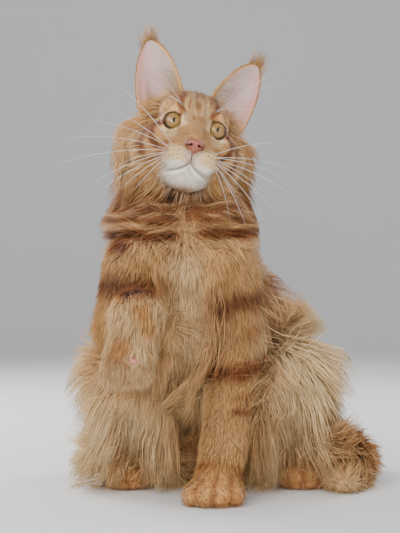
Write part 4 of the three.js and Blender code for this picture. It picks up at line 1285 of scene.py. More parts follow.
def ear_share(p, side):
    """Where points lie on the ear: u across, v up, and how far behind the front of the cup."""
    h = head_place(p)
    h[:, 0] *= side
    base, rise, across = ear_frame()
    v = (h - base) @ rise / (rise @ rise)
    middle = base + v[:, None] * rise
    u = (h - middle) @ across / (across @ across) / ear_width(v)
    front = ear_point(np.clip(u, -1, 1), v)
    return u, v, h[:, 1] - front[:, 1]


# %% Paint the ears
def paint_ear(ear, side):
    """Bare lilac and pink skin in the cup, and the coat's colour behind, at the base and at the edges."""
    p = points_of(ear)
    u, v, behind = ear_share(p, side)
    fur = strongest(
        smooth(0.5, 1.6, behind),
        0.8 * smooth(-0.5, -0.95, u + 0.25 * v) * smooth(0.8, 0.25, v),
        smooth(0.86, 0.99, np.abs(u)),
        smooth(0.1, -0.1, v - 0.15 * (1 - u)),
    )
    pink = np.clip(smooth(0.35, 0.85, u) + 0.5 * noise(p, 12, 7), 0, 1)[:, None]
    bare = EAR_LILAC + (EAR_PINK - EAR_LILAC) * pink
    hair = TAN * (0.95 + 0.15 * noise(p, 6, 8))[:, None]
    paint_points(ear, bare + (hair - bare) * np.clip(fur, 0, 1)[:, None])


for name, side in (("left", 1), ("right", -1)):
    ear = ear_piece(name, side)
    paint_ear(ear, side)
    ear.data.materials.append(leather_material("ear_skin_" + name, 0.6, 700))
    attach(ear, "root")
    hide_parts("ear_" + name)
print("ears made")

# %% [markdown]
# Two of the raised paw's pink pads show from in front. Each is found by looking from the camera along the
# line through its place in the picture until the paw's flesh is met.

# %% Pads
# Each pad: its place in the picture, half its width and height in millimetres, and its turn in degrees.
PADS = (("upper", 146.5, 340, 3.6, 5.4, -10), ("lower", 133.5, 361, 5.0, 2.9, 14))
PAD_PINK = paint(190, 118, 104)
PAD_DEPTH, PAD_FORWARD = 4, 3.2
SIGHT_START = 1.1  # metres from the camera, still in front of the cat
SIGHT_STEPS = 60


def seen_on_body(px, py):
    """The point where the line of sight through a place in the picture meets the flesh."""
    viewer = np.array(camera.location)
    aim = at(px - PHOTO_WIDTH / 2, 0, CAMERA_HEIGHT + PHOTO_HEIGHT / 2 - py)
    way = (aim - viewer) / np.linalg.norm(aim - viewer)
    place = viewer + way * SIGHT_START
    for _ in range(SIGHT_STEPS):
        place = place + way * max(float(body(place[None])[0]), 0)
    return place


pad_places = []
for name, px, py, wide, high, turn in PADS:
    place = seen_on_body(px, py)
    bpy.ops.mesh.primitive_uv_sphere_add(segments=32, ring_count=20, radius=1)
    pad = bpy.context.object
    pad.name = "pad_" + name
    pad.scale = (wide * mm, PAD_DEPTH * mm, high * mm)
    pad.rotation_euler = (0, math.radians(turn), 0)
    pad.location = place + np.array((0, -PAD_FORWARD, 0)) * mm
    pad_places.append(place)
    bpy.ops.object.transform_apply(location=True, rotation=True, scale=True)
    bpy.ops.object.shade_smooth()
    paint_points(pad, np.tile(PAD_PINK, (len(pad.data.vertices), 1)))
    pad.data.materials.append(leather_material("pad_" + name, 0.5, 600))
    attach(pad, "root")
    print("pad", name, cat_place(place[None])[0].round(1))

# %% [markdown]
# ## How a tuft is made
#
# A tuft of hairs is a thin three-sided spike: a root ring sunk in the skin, one to three rings on the way
# and one tip. Real hair could be made with a hair system, but a mesh keeps its shape in any program. All
# the tufts of a piece are worked out together as arrays, so a hundred thousand take less than a minute.

# %% Roots on the skin
skin.data.calc_loop_triangles()
triangle_count = len(skin.data.loop_triangles)
tri_points = np.empty(triangle_count * 3, dtype=np.int32)
skin.data.loop_triangles.foreach_get("vertices", tri_points)
tri_points = tri_points.reshape(-1, 3)
tri_loops = np.empty(triangle_count * 3, dtype=np.int32)
skin.data.loop_triangles.foreach_get("loops", tri_loops)
tri_loops = tri_loops.reshape(-1, 3)
unwrap = np.empty(len(skin.data.loops) * 2, dtype=np.float32)
skin.data.uv_layers["OFBake"].data.foreach_get("uv", unwrap)
unwrap = unwrap.reshape(-1, 2)
skin_points, skin_normals = points_of(skin), normals_of(skin)
tri_middles = skin_points[tri_points].mean(axis=1)
edges = skin_points[tri_points[:, 1:]] - skin_points[tri_points[:, :1]]
tri_areas = np.linalg.norm(np.cross(edges[:, 0], edges[:, 1]), axis=1) / 2
tri_near = nearness(part_distances(tri_middles), 4)
tri_head, tri_cat = head_place(tri_middles), cat_place(tri_middles)
print("skin area", round(tri_areas.sum() * 1e4), "cm2 in", triangle_count, "triangles")


def scatter(weight, count):
    """Root points on the skin, spread by the area and weight of its triangles."""
    total = np.cumsum(tri_areas * weight)
    picks = (np.arange(count) + rng.random(count)) / count * total[-1]
    chosen = np.minimum(np.searchsorted(total, picks), triangle_count - 1)
    share = np.sort(rng.random((count, 2)), axis=1)
    share = np.stack([share[:, 0], share[:, 1] - share[:, 0], 1 - share[:, 1]], axis=1)[:, :, None]
    root = (skin_points[tri_points[chosen]] * share).sum(axis=1)
    normal = (skin_normals[tri_points[chosen]] * share).sum(axis=1)
    normal /= np.linalg.norm(normal, axis=1, keepdims=True)
    where = (unwrap[tri_loops[chosen]] * share).sum(axis=1)
    return root, normal, where


# %% [markdown]
# ## The lie of the coat
#
# Hair streams away from the nose over the face and down the back of the head, falls down the neck and
# trunk, and runs along each limb to its toes and along the tail to its tip. On the throat it is brushed out
# to both sides. The way of the stream at a point is mixed from the ways of the parts that lie near it.


# %% Streams
def unit(v):
    return v / np.maximum(np.linalg.norm(v, axis=1, keepdims=True), 1e-9)


def along_bars(p, masses):
    """The way along a limb: the mean way of its bars, those nearest the point counting most."""
    bars = [m for m in masses if isinstance(m, Bar) and np.linalg.norm(m.b - m.a) > 5 * mm]
    d = np.array([m.distance(p) for m in bars])
    share = np.exp(-(d - d.min(axis=0)) / (8 * mm))
    share /= share.sum(axis=0)
    ways = np.array([(m.b - m.a) / np.linalg.norm(m.b - m.a) for m in bars])
    return share.T @ ways


def stream(p, near):
    """The lie of the coat at each point, before it is laid flat on the body."""
    h, q = head_place(p), cat_place(p)
    x, y, z = q.T
    way = np.zeros_like(p)
    face = h - np.array((0, -38, -18))  # away from the nose
    face = unit(face * np.array((1.0, 1.0, 1.15)))
    cheek = smooth(26, 42, np.abs(h[:, 0])) * smooth(0, 16, h[:, 1]) * smooth(26, 12, h[:, 2])
    ruff = np.stack([0.75 * np.sign(h[:, 0]), 0.25 + 0 * x, -0.8 + 0 * x], axis=1)
    face = unit(face + (ruff - face) * (0.8 * cheek)[:, None])
    face[:, 2] -= 0.35 * smooth(5, 40, h[:, 1]) * smooth(20, -10, h[:, 2]) + 1.5 * smooth(30, 62, h[:, 1])
    way += near["head"][:, None] * (face @ HEAD_TURN.T)
    side = np.clip((x + 14) / 34, -1, 1)
    throat = smooth(34, -6, y)
    down = np.stack([0.5 * side + 1.3 * side * throat, 0.4 - 0.3 * throat, -0.8 + 0.45 * throat], axis=1)
    way += near["neck"][:, None] * down
    upper = smooth(222, 262, z)
    sideways, backward = side * (0.2 + 0.9 * upper * throat), 0.35 - 0.45 * throat
    fan = np.stack([sideways, backward, -1 + 0.3 * upper], axis=1)
    fan[:, 1] += 0.35 * smooth(110, 170, y)
    way += near["trunk"][:, None] * fan
    for part in ("left_foreleg", "right_foreleg"):
        limb = along_bars(p, FLESH[part][0])
        limb[:, 2] -= 0.35
        way += near[part][:, None] * limb
    foot = smooth(42, 22, z)
    for part, sign in (("left_hind", 1), ("right_hind", -1)):
        fall = np.stack([0.25 * sign + 0 * x, 0.1 + 0.3 * smooth(100, 150, y), -1 + 0 * x], axis=1)
        toe = np.stack([0 * x, -1 + 0 * x, -0.1 + 0 * x], axis=1)
        way += near[part][:, None] * (fall + (toe - fall) * foot[:, None])
    way += near["tail"][:, None] * along_bars(p, TAIL_BARS)
    return unit(way)


chest = at(-15, -10, 236)[None]
print("the stream on the chest:", stream(chest, nearness(part_distances(chest)))[0].round(2))

# %% [markdown]
# ## Combing
#
# A hair leaves its root along the stream and stands off the skin more and more towards its tip. Neighbours
# draw together in locks, which is what makes a long coat look silky, and long hair waves a little. Hair can
# be combed with a brush, but a rule combs a hundred thousand tufts at once.

# %% Comb the hairs over the body
ROOT_DEPTH = 0.8
# Steps that spread whole numbers evenly, so that neighbouring clumps differ.
GOLDEN_TURN, GOLDEN_SHARE, PLASTIC_SHARE = 2.399963, 0.618034, 0.7548777


def comb(root, normal, length, rise, steps, sway):
    """The line of each hair. It leaves its root along the stream and stands off the skin more and more."""
    count = len(root)
    line = np.empty((count, steps + 1, 3))
    line[:, 0] = root - normal * ROOT_DEPTH * mm
    place = root.copy()
    lean = rng.normal(0, sway, (count, 1))
    for i in range(1, steps + 1):
        d = part_distances(place)
        way = stream(place, nearness(d))
        out = slope(body, place, 1.5 * mm) if i == 1 or i % 2 == 0 else out
        way = unit(way - out * np.sum(way * out, axis=1, keepdims=True))
        way = unit(way + np.cross(out, way) * lean)
        place = place + way * (length / steps)[:, None]
        want = rise * (i / steps) ** 0.85
        place = place + out * (want - body(place))[:, None]
        line[:, i] = place
    return line


def clump(line, root, size, strength, share_from=0.15):
    """Draws the hairs of each neighbourhood together towards their tips, as long soft hair goes."""
    count = len(root)
    seeds = rng.choice(count, max(1, int(count / size)), replace=False)
    tree = kdtree.KDTree(len(seeds))
    for i, s in enumerate(seeds):
        tree.insert(root[s], i)
    tree.balance()
    owner = np.array([tree.find(r)[1] for r in root])
    lead = line[seeds[owner]]
    steps = line.shape[1] - 1
    pull = strength * np.clip((np.arange(steps + 1) / steps - share_from) / (1 - share_from), 0, 1) ** 1.3
    pull = pull[None, :, None] * (0.7 + 0.3 * rng.random((count, 1, 1)))
    return line + (lead - line) * pull, owner


def wave(line, owner, size, turns):
    """Bends the hairs to and fro, those of one clump together, more towards their tips."""
    steps = line.shape[1] - 1
    along = unit(line[:, -1] - line[:, 0])
    across = unit(np.cross(along, slope(body, line[:, 0], 2 * mm)))
    phase = (owner * GOLDEN_TURN) % (2 * math.pi)
    amount = size * mm * (0.5 + ((owner * GOLDEN_SHARE) % 1))
    bent = line.copy()
    for i in range(1, steps + 1):
        share = i / steps
        bent[:, i] += across * (amount * share**1.2 * np.sin(phase + turns * 2 * math.pi * share))[:, None]
    return bent


# %% The points of a spike
LINE_CLEARANCE, POINT_CLEARANCE = 0.9, 0.3  # how far hairs and their points stay above the floor
SPIKE_FLATNESS = 0.6


def clear_of_floor(places, clearance):
    """Lifts in place whatever lies lower than the clearance, in millimetres."""
    places[:, :, 2] = np.maximum(places[:, :, 2], clearance * mm)


def spike_points(line, normal, width):
    """Three points round each place of each line but the last, and then the tip."""
    count, rings = line.shape[0], line.shape[1] - 1
    along = np.gradient(line, axis=1)
    along = along / np.maximum(np.linalg.norm(along, axis=2, keepdims=True), 1e-9)
    across = np.cross(along, normal[:, None, :])
    across = across / np.maximum(np.linalg.norm(across, axis=2, keepdims=True), 1e-9)
    over = np.cross(across, along)
    share = np.arange(rings) / rings
    girth = (1 - share) ** 0.6 * (0.75 + 0.25 * np.minimum(share * 4, 1))
    radius = width[:, None] / 2 * girth[None, :]
    places = np.empty((count, rings * 3 + 1, 3))
    for k in range(3):
        turn = k * 2 * math.pi / 3
        sideways = across[:, :rings] * math.cos(turn) + SPIKE_FLATNESS * over[:, :rings] * math.sin(turn)
        places[:, k : rings * 3 : 3] = line[:, :rings] + sideways * radius[:, :, None]
    places[:, -1] = line[:, -1]
    return places


# %% The faces of a spike
def spike_faces(rings):
    """The faces of one spike: the four-sided ones, then the three at its tip and the one at its root."""
    quads = []
    for i in range(rings - 1):
        for k in range(3):
            a, b = 3 * i + k, 3 * i + (k + 1) % 3
            quads.append((a, b, b + 3, a + 3))
    last, tip = 3 * (rings - 1), 3 * rings
    return quads, [(last + k, last + (k + 1) % 3, tip) for k in range(3)] + [(2, 1, 0)]


def spike_mesh(name, places, quads, ends):
    """One mesh of many spikes that all have the same faces, and the point at each of its corners."""
    count, size = places.shape[:2]
    pattern = np.array([point for face in quads + ends for point in face], dtype=np.int32)
    starts = np.cumsum([0] + [4] * len(quads) + [3] * len(ends))[:-1]
    loops = (pattern[None, :] + size * np.arange(count)[:, None]).ravel().astype(np.int32)
    faces = (starts[None, :] + len(pattern) * np.arange(count)[:, None]).ravel().astype(np.int32)
    mesh = bpy.data.meshes.new(name)
    mesh.vertices.add(count * size)
    mesh.loops.add(len(loops))
    mesh.polygons.add(len(faces))
    mesh.vertices.foreach_set("co", places.astype(np.float32).ravel())
    mesh.loops.foreach_set("vertex_index", loops)
    mesh.polygons.foreach_set("loop_start", faces)
    mesh.polygons.foreach_set("use_smooth", np.ones(len(faces), dtype=bool))
    mesh.update(calc_edges=True)
    return mesh, loops


print("faces of a spike with two rings:", sum(len(kind) for kind in spike_faces(2)))

# %% A piece of spikes
TUFT_PATCH = 0.003  # the size of a tuft's patch on the unwrap


def spikes(name, line, normal, width, where, colours, slot, material,
           root_shade=0.72, tip_shade=1.12, keep_low=True):
    """One piece of closed three-sided spikes along lines.

    Each ring has its colour, darkened towards the root and lightened towards the tip as painted shade deep
    in the coat, and each spike has a small patch round its place on the unwrap.
    """
    line = line.copy()
    count, rings = line.shape[0], line.shape[1] - 1
    if keep_low:
        clear_of_floor(line, LINE_CLEARANCE)
    places = spike_points(line, normal, width)
    if keep_low:
        clear_of_floor(places, POINT_CLEARANCE)
    quads, ends = spike_faces(rings)
    mesh, loops = spike_mesh(name, places, quads, ends)
    piece = bpy.data.objects.new(name, mesh)
    bpy.context.collection.objects.link(piece)
    # Darker roots and lighter tips: painted shade deep in the coat.
    height = np.append(np.repeat(np.arange(rings) / rings, 3), 1.0)
    shade = root_shade + (tip_shade - root_shade) * height**0.8
    ringed = np.concatenate([np.repeat(colours[:, :rings], 3, axis=1), colours[:, rings:]], axis=1)
    paint_points(piece, (ringed * shade[None, :, None]).reshape(-1, 3))
    patch = mesh.uv_layers.new(name="OFBake")
    side = np.append(np.tile((-0.5, 0.0, 0.5), rings), 0.0)
    spread = np.stack([side, height - 0.5], axis=1) * TUFT_PATCH
    corner_uv = where[:, None, :] + spread[None, :, :]
    patch.data.foreach_set("uv", corner_uv.reshape(-1, 2)[loops].astype(np.float32).ravel())
    mesh.materials.append(material)
    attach(piece, "root")
    triangles = count * (2 * len(quads) + len(ends))
    print(name, count, "tufts,", triangles, "triangles")


coat_fur = coat_material("coat_hair", roughness=0.55, sheen=0.08, grain=500, tint_spread=0.1)


# %% [markdown]
# ## The coat, region by region
#
# Each region has its own length of hair, how far its tips stand off the skin and how thick its tufts are.
# Hair is only a few millimetres long and very fine on the face and feet. It is long in the ruff, longer on
# the flanks, and longest on the breeches and tail. Shorter and longer hairs are mixed, so that the coat
# looks deep.

# %% The outline of the coat
# How far the coat reaches to either side, in millimetres, at heights from the floor to under the ears.
COLUMN_HEIGHTS = (0, 60, 90, 124, 142, 168, 186, 200, 211, 225, 240, 250, 280, 310, 335, 360, 380, 397)
COLUMN_RIGHT = (-136, -138, -136, -131, -126, -119, -113, -108, -105,
                -103, -102, -101, -98, -94, -89, -85, -80, -71)
COLUMN_LEFT = (158, 160, 158, 153, 147, 129, 114, 103, 93, 79, 63, 57, 57, 58, 57, 64, 53, 40)
COLUMN_MIDDLE = 40  # how far back the middle of the column lies
COLUMN_DEPTH = 0.86  # its depth beside its width
SIDE_RISE = (14, 74)  # the least and the most that flank hair may stand off
SPARE, SOFT_REACH = 6, 8


def column_gap(p, drop=14):
    """How far this outline stands off the skin of neck or chest, straight out, in millimetres.

    The hair falls, so it meets the outline lower than its root, by the drop.
    """
    q = cat_place(p)
    out = slope(body, p, 2 * mm)
    z = q[:, 2] - drop
    right, left = np.interp(z, COLUMN_HEIGHTS, COLUMN_RIGHT), np.interp(z, COLUMN_HEIGHTS, COLUMN_LEFT)
    middle, half = (left + right) / 2, (left - right) / 2
    depth = COLUMN_DEPTH * half
    dx, dy = (q[:, 0] - middle) / half, (q[:, 1] - COLUMN_MIDDLE) / depth
    nx, ny = out[:, 0] / half, out[:, 1] / depth
    a, b, c = nx * nx + ny * ny + 1e-9, dx * nx + dy * ny, dx * dx + dy * dy - 1
    gap = (-b + np.sqrt(np.maximum(b * b - a * c, 0))) / a
    return gap * (0.3 + 0.7 * np.hypot(out[:, 0], out[:, 1]))


def side_gap(p, base, drop=22):
    """How far hair on the flanks stands off to reach the outline to the side. Elsewhere it is the base."""
    q = cat_place(p)
    out = slope(body, p, 2 * mm)[:, 0]
    z = q[:, 2] - drop
    left, right = np.interp(z, COLUMN_HEIGHTS, COLUMN_LEFT), np.interp(z, COLUMN_HEIGHTS, COLUMN_RIGHT)
    outward = np.where(np.abs(out) < 0.3, 0.3 * np.sign(out + 1e-9), out)
    needed = np.clip((np.where(out > 0, left, right) - q[:, 0]) / outward, *SIDE_RISE)
    return base + (needed - base) * smooth(0.15, 0.6, np.abs(out))


def keep_in_column(line):
    """Draws back hairs that would stick out past the outline of the column, more strictly at the neck."""
    q = cat_place(line.reshape(-1, 3))
    spare = SPARE * smooth(225, 200, q[:, 2]) * smooth(30, 70, q[:, 2])
    right = np.interp(q[:, 2], COLUMN_HEIGHTS, COLUMN_RIGHT) - spare
    left = np.interp(q[:, 2], COLUMN_HEIGHTS, COLUMN_LEFT) + spare
    over = np.maximum(q[:, 0] - left, 0) - np.maximum(right - q[:, 0], 0)
    over *= smooth(410, 395, q[:, 2])
    drawn = line.reshape(-1, 3).copy()
    drawn[:, 0] -= over * (1 - 1 / (1 + np.abs(over) / SOFT_REACH)) * mm
    return drawn.reshape(line.shape)


print("width of the coat at the floor, mm:", COLUMN_LEFT[0] - COLUMN_RIGHT[0])


# %% Grow one region
def for_each(value, root):
    """A measure at each root, from one number or from a function of place."""
    return value(root) if callable(value) else np.full(len(root), float(value))


def grow(name, weight, count, length, rise, width, slot, steps=3, clump_size=9, clump_pull=0.6,
         curl=0.0, sway=0.14, root_shade=0.7, depth=(0.45, 1.0), spread=0.16, free=False):
    """One region of the coat. Length, rise and width of its tufts are in millimetres.

    The rise is how far a tip stands off the skin, and depth is the range of shares that mixes the tufts.
    """
    root, normal, where = scatter(weight, count)
    far, high, thick = (for_each(value, root) for value in (length, rise, width))
    share = depth[0] + (depth[1] - depth[0]) * rng.random(count) ** 0.8
    far = far * (0.7 + 0.3 * share) * mm
    high = high * share * mm
    line = comb(root, normal, far, high, steps, sway)
    line, owner = clump(line, root, clump_size, clump_pull)
    if curl:
        line = wave(line, owner, curl, 0.8)
    if not free:
        line = keep_in_column(line)
    colours = markings(line.reshape(-1, 3)).reshape(count, steps + 1, 3)
    colours = 0.9 * colours + 0.1 * colours[:, max(1, steps - 1)][:, None, :]
    tint = 1 + spread * (rng.random(count) - 0.5) + 0.18 * (((owner * PLASTIC_SHARE) % 1) - 0.5)
    # Shorter tufts, which lie deeper in the coat, are painted darker: painted shade.
    shade = 0.86 + 0.14 * share
    colours = colours * (tint * shade)[:, None, None]
    thick = thick * mm * (0.8 + 0.4 * rng.random(count))
    spikes(name, line, normal, thick, where, colours, slot, coat_fur, root_shade=root_shade)


# %% Where each region lies
# The share of each part in each triangle of the skin, and masks for what has no coat.
head_near, neck_near, trunk_near = tri_near["head"], tri_near["neck"], tri_near["trunk"]
hx, hy, hz = tri_head.T
cx, cy, cz = tri_cat.T
left_near, right_near = tri_near["left_foreleg"], tri_near["right_foreleg"]
hind_near, tail_near = tri_near["left_hind"] + tri_near["right_hind"], tri_near["tail"]
tri_eye, _ = round_eyes(tri_head, on_ball=True)
clear_of_eyes = np.clip(smooth(1.1, 1.25, tri_eye) + (hy > 4), 0, 1)
clear_of_nose = 1 - (1 - smooth(6.5, 9.5, np.hypot(hx, 1.15 * (hz + 24.5)))) * (hy < -28)
to_pads = np.min([np.linalg.norm(tri_middles - place, axis=1) for place in pad_places], axis=0) / mm
clear_of_pads = smooth(4.5, 7, to_pads)
clear_of_mouth = 1 - (np.abs(hz - mouth_height(np.abs(hx))) < 1.1) * (np.abs(hx) < 24) * (hy < -10)
furry_face = clear_of_eyes * clear_of_nose * clear_of_mouth
print("furry share of the face:", round(float((furry_face * head_near).sum() / head_near.sum()), 2))


# %% Face, cheeks and the back of the head
def cheek_share(p):
    """1 on the side of the cheek, from which the ruff hangs, and 0 on the rest of the head."""
    h = head_place(p)
    return smooth(34, 48, np.abs(h[:, 0])) * smooth(2, 20, h[:, 1]) * smooth(26, 14, h[:, 2])


def face_length(p):
    h = head_place(p)
    reach = np.linalg.norm(h - np.array((0, -38, -22)), axis=1)
    short = 3.2 + 5.5 * smooth(14, 60, reach)
    return short + 22 * cheek_share(p) + 5 * smooth(20, 60, h[:, 1])


def face_rise(p):
    h = head_place(p)
    return 1.5 + 2.2 * smooth(0, 50, h[:, 1]) + 11 * cheek_share(p)


def face_width(p):
    return 0.55 + 0.5 * smooth(-10, 34, head_place(p)[:, 1])


def cheek_rise(p):
    low = smooth(0, -30, head_place(p)[:, 2])
    return np.clip((1.05 + 0.25 * low) * column_gap(p, 16 + 10 * low), 8, 54)


grow("coat_face", head_near * furry_face * (hy < 34) * (0.5 + smooth(8, -12, hy)), 15000,
     face_length, face_rise, face_width, "face_coat", steps=2, clump_size=5, clump_pull=0.3)
on_cheek = smooth(30, 42, np.abs(hx) + 10 * smooth(-25, -45, hz)) * smooth(0, 14, hy) * smooth(28, 16, hz)
grow("coat_cheeks", head_near * on_cheek * (0.6 + smooth(0, -25, hz)), 5600,
     lambda p: 16 + 0.8 * cheek_rise(p), cheek_rise, 1.2, "face_coat",
     clump_size=8, clump_pull=0.5, curl=0.8)
grow("coat_head_back", head_near * smooth(16, 28, hy), 3500,
     lambda p: face_length(p) + 7, lambda p: face_rise(p) + 4, 1.2, "face_coat")

# %% [markdown]
# From the cheeks down to the chest the coat fills one column, so the narrow neck is hidden. How far a tuft
# of the ruff has to stand off is worked out from the outline of that column.

# %% Ruff, chest, back and belly
def ruff_rise(p):
    return np.clip(1.08 * column_gap(p, 10), 14, 52)


def ruff_length(p):
    return 14 + 0.6 * ruff_rise(p)


on_ruff = neck_near + 0.7 * trunk_near * smooth(228, 245, cz)
on_ruff = on_ruff + 0.5 * head_near * smooth(-34, -44, hz) * smooth(4, 14, hy)
grow("coat_ruff", on_ruff, 11500, ruff_length, ruff_rise, 1.45, "body_coat", curl=2.0, clump_size=10)
throat_middle = np.exp(-(((cx + 8) / 20) ** 2) - ((cz - 288) / 17) ** 2) * smooth(30, 10, cy)
grow("coat_throat_curls", (neck_near + trunk_near) * throat_middle, 900, 30, 25, 1.1, "body_coat",
     steps=4, clump_pull=0.75, curl=6.5, sway=1.2, depth=(0.6, 1.0))


def chest_rise(p):
    high = smooth(205, 225, cat_place(p)[:, 2])
    low_rise = side_gap(p, 33)
    return low_rise + (np.clip(column_gap(p), 10, 36) - low_rise) * high


grow("coat_chest", trunk_near * smooth(95, 60, cy) * smooth(90, 130, cz), 10000, 50, chest_rise, 1.5,
     "body_coat", curl=2.4, clump_size=12, clump_pull=0.7)
grow("coat_back", trunk_near * smooth(60, 95, cy), 8500, 56, lambda p: side_gap(p, 36), 1.9,
     "body_coat", curl=2, clump_size=12, clump_pull=0.65)
grow("coat_belly", trunk_near * smooth(100, 80, cz) * smooth(120, 80, cy), 1200, 50, 33, 1.9,
     "body_coat", curl=2)


# %% Legs, paws, breeches and tail
def behind_leg(q):
    """1 on the back of a foreleg, where its hair is longest, and 0 on its front."""
    return smooth(0, 26, q[:, 1] - np.interp(q[:, 2], (40, 164, 236), (0, 34, 14)))


def leg_length(p):
    q = cat_place(p)
    return 16 + 8 * smooth(110, 190, q[:, 2]) + 13 * behind_leg(q)


def leg_rise(p):
    q = cat_place(p)
    return 7.5 + 4 * smooth(110, 190, q[:, 2]) + 6 * behind_leg(q)


def to_tail_tip(p):
    return np.linalg.norm(p - TAIL_PLACES[-1], axis=1) / mm


grow("coat_left_foreleg", left_near * smooth(30, 48, cz), 8500,
     leg_length, leg_rise, 1.1, "leg_coat", steps=2)
grow("coat_right_foreleg", right_near * smooth(150, 168, cz) * clear_of_pads, 7500,
     leg_length, leg_rise, 1.1, "leg_coat", steps=2)
low_legs = left_near * smooth(70, 50, cz) + right_near * smooth(182, 160, cz)
low_hind = hind_near * smooth(48, 32, cz)
# The paw tufts' roots are painted darker still: painted shade deep in the short fur.
grow("coat_paws", (low_legs + low_hind) * clear_of_pads, 10000, 9, 5, 0.75,
     "paw_coat", steps=2, clump_size=6, root_shade=0.55, spread=0.45, sway=0.45)
for name in ("left", "right"):
    grow("coat_breeches_" + name, tri_near[name + "_hind"] * smooth(25, 50, cz), 7500,
         62, lambda p: side_gap(p, 43), 1.9, "breeches_coat", curl=2.5, clump_size=12, clump_pull=0.7)
grow("coat_tail", tail_near, 6600, lambda p: 46 + 14 * smooth(0, 60, to_tail_tip(p)),
     lambda p: 14 + 22 * smooth(10, 80, to_tail_tip(p)), 1.9,
     "tail_coat", clump_size=11, clump_pull=0.65, curl=2, free=True)

# %% [markdown]
# Longer cream hairs spring from between the toes and hang from the raised paw.

# %% Toe tufts
def arcs(start, bend, end, steps):
    """Curves that leave the start towards the bend and come in to the end."""
    t = np.linspace(0, 1, steps + 1)[None, :, None]
    return (1 - t) ** 2 * start[:, None] + 2 * t * (1 - t) * bend[:, None] + t * t * end[:, None]


toe_gap, toe_near = between_toes(tri_middles)
raised = right_near * smooth(9, 3, toe_near) * smooth(160, 142, cz) * clear_of_pads
standing = left_near + tri_near["left_hind"] + tri_near["right_hind"]
standing = standing * (toe_gap + 0.15) * smooth(26, 14, cz) * smooth(8, 4, toe_near)
for name, spots, count, fall, far in (("raised", raised, 1300, (0.1, -0.1, -1), 15),
                                      ("standing", standing, 700, (0, -0.8, -0.5), 8)):
    root, normal, where = scatter(spots, count)
    way = unit(np.array(fall) + 0.45 * normal + rng.normal(0, 0.16, (count, 3)))
    length = far * (0.45 + 0.55 * rng.random((count, 1))) * mm
    end = root + way * length
    bend = root + 0.5 * length * unit(way + 0.5 * normal)
    line = arcs(root - 0.6 * mm * normal, bend, end, 2)
    tone = ORANGE + (CREAM - ORANGE) * (0.25 + 0.75 * rng.random((count, 1)))
    tone = tone * (0.8 + 0.3 * rng.random((count, 1)))
    spikes("coat_toes_" + name, line, normal, (0.5 + 0.3 * rng.random(count)) * mm, where,
           np.repeat(tone[:, None, :], 3, axis=1), "paw_coat", coat_fur, root_shade=0.7)

# %% [markdown]
# ## Ear fur and whiskers
#
# The fur of an ear grows from the ear's own sheet, so its roots are placed by u and v. Long fine hairs
# spring from the inner edge across the cup, and the tip carries the lynx tuft. Whiskers are stiff, so each
# is one curve.

# %% Nearest places on the skin
skin_tree = kdtree.KDTree(triangle_count)
for i, middle in enumerate(tri_middles):
    skin_tree.insert(middle, i)
skin_tree.balance()


def patch_of(root):
    """The place on the skin's unwrap nearest to each root."""
    nearest = [skin_tree.find(r)[1] for r in root]
    return unwrap[tri_loops[nearest, 0]]


def to_world(h, side):
    h = np.array(h, dtype=float)
    h[:, 0] *= side
    return EYES + h @ HEAD_TURN.T * mm


print("triangles in the search tree:", triangle_count)


# %% Hairs of the ear's sheet
def ear_ways(u, v):
    """On the ear, the ways up to the tip, across to the outer edge and out of the back."""
    step = 0.01
    up = ear_point(u, v + step) - ear_point(u, v - step)
    across = ear_point(np.minimum(u + step, 1), v) - ear_point(np.maximum(u - step, -1), v)
    up, across = unit(up), unit(across)
    back = unit(np.cross(across, up))
    return up, across, back * np.sign(back[:, 1:2] + 1e-9)


EAR_TUFT = np.array(EAR_TIP, dtype=float) + np.array((3, 1, 21))


def ear_hairs(u, v, way, length, width, colour, bow=0.0, sink=0.0):
    """Start, bend, end, facing, width and colour of hairs that grow from the ear's sheet."""
    up, across, back = ear_ways(u, v)
    start = ear_point(u, v) + back * sink
    way = unit(way(up, across, back))
    end = start + way * length[:, None]
    bend = start + way * length[:, None] * 0.5 + back * (bow * length)[:, None]
    return start, bend, end, back, width, colour


print("tip of the lynx tuft, in head millimetres:", EAR_TUFT)


# %% Four kinds of ear hair
def edge_hairs(n=900):
    """Short hairs along both edges, that point up and outward."""
    v = rng.random(n) * 1.05 - 0.1
    edge = np.where(rng.random(n) < 0.5, -0.985, 0.985)
    short = (2.2 + 3 * rng.random(n)) * (1 + 0.7 * smooth(0.35, 0, v) * (edge < 0))
    out = np.sign(edge)[:, None]

    def way(up, across, back):
        return 0.9 * up + out * across * (0.3 + 0.5 * rng.random((n, 1))) - 0.25 * back

    return ear_hairs(edge, v, way, short, 0.45 + 0 * v, np.tile(0.8 * TAN, (n, 1)), sink=1.0)


def back_hairs(n=1600):
    """The short coat on the back of the ear, darker towards the tip."""
    u, v = rng.random(n) * 1.96 - 0.98, rng.random(n) ** 0.9 * 1.15 - 0.2
    tone = TAN * (0.8 + 0.25 * rng.random((n, 1))) * (1 - 0.45 * smooth(0.6, 1, v))[:, None]
    length = 5 + 3 * rng.random(n)

    def way(up, across, back):
        return up + 0.28 * back + rng.normal(0, 0.16, (n, 3))

    return ear_hairs(u, v, way, length, 1.0 + 0 * v, tone, sink=EAR_WALL - 0.3)


def wisps(n=160):
    """Long pale hairs that spring from the inner edge across the cup."""
    u, v = -0.97 + 0.24 * rng.random(n), rng.random(n) ** 1.2 * 0.5 - 0.14
    length, width = 8 + 19 * rng.random(n), 0.3 + 0.1 * rng.random(n)

    def way(up, across, back):
        inside = (0.5 + 0.5 * rng.random((n, 1))) * up + (0.35 + 0.7 * rng.random((n, 1))) * across
        return inside - (0.15 + 0.3 * rng.random((n, 1))) * back

    pale = np.tile((CREAM + 2 * WHITE) / 3, (n, 1))
    return ear_hairs(u, v, way, length, width, pale, bow=-0.12, sink=-0.6)


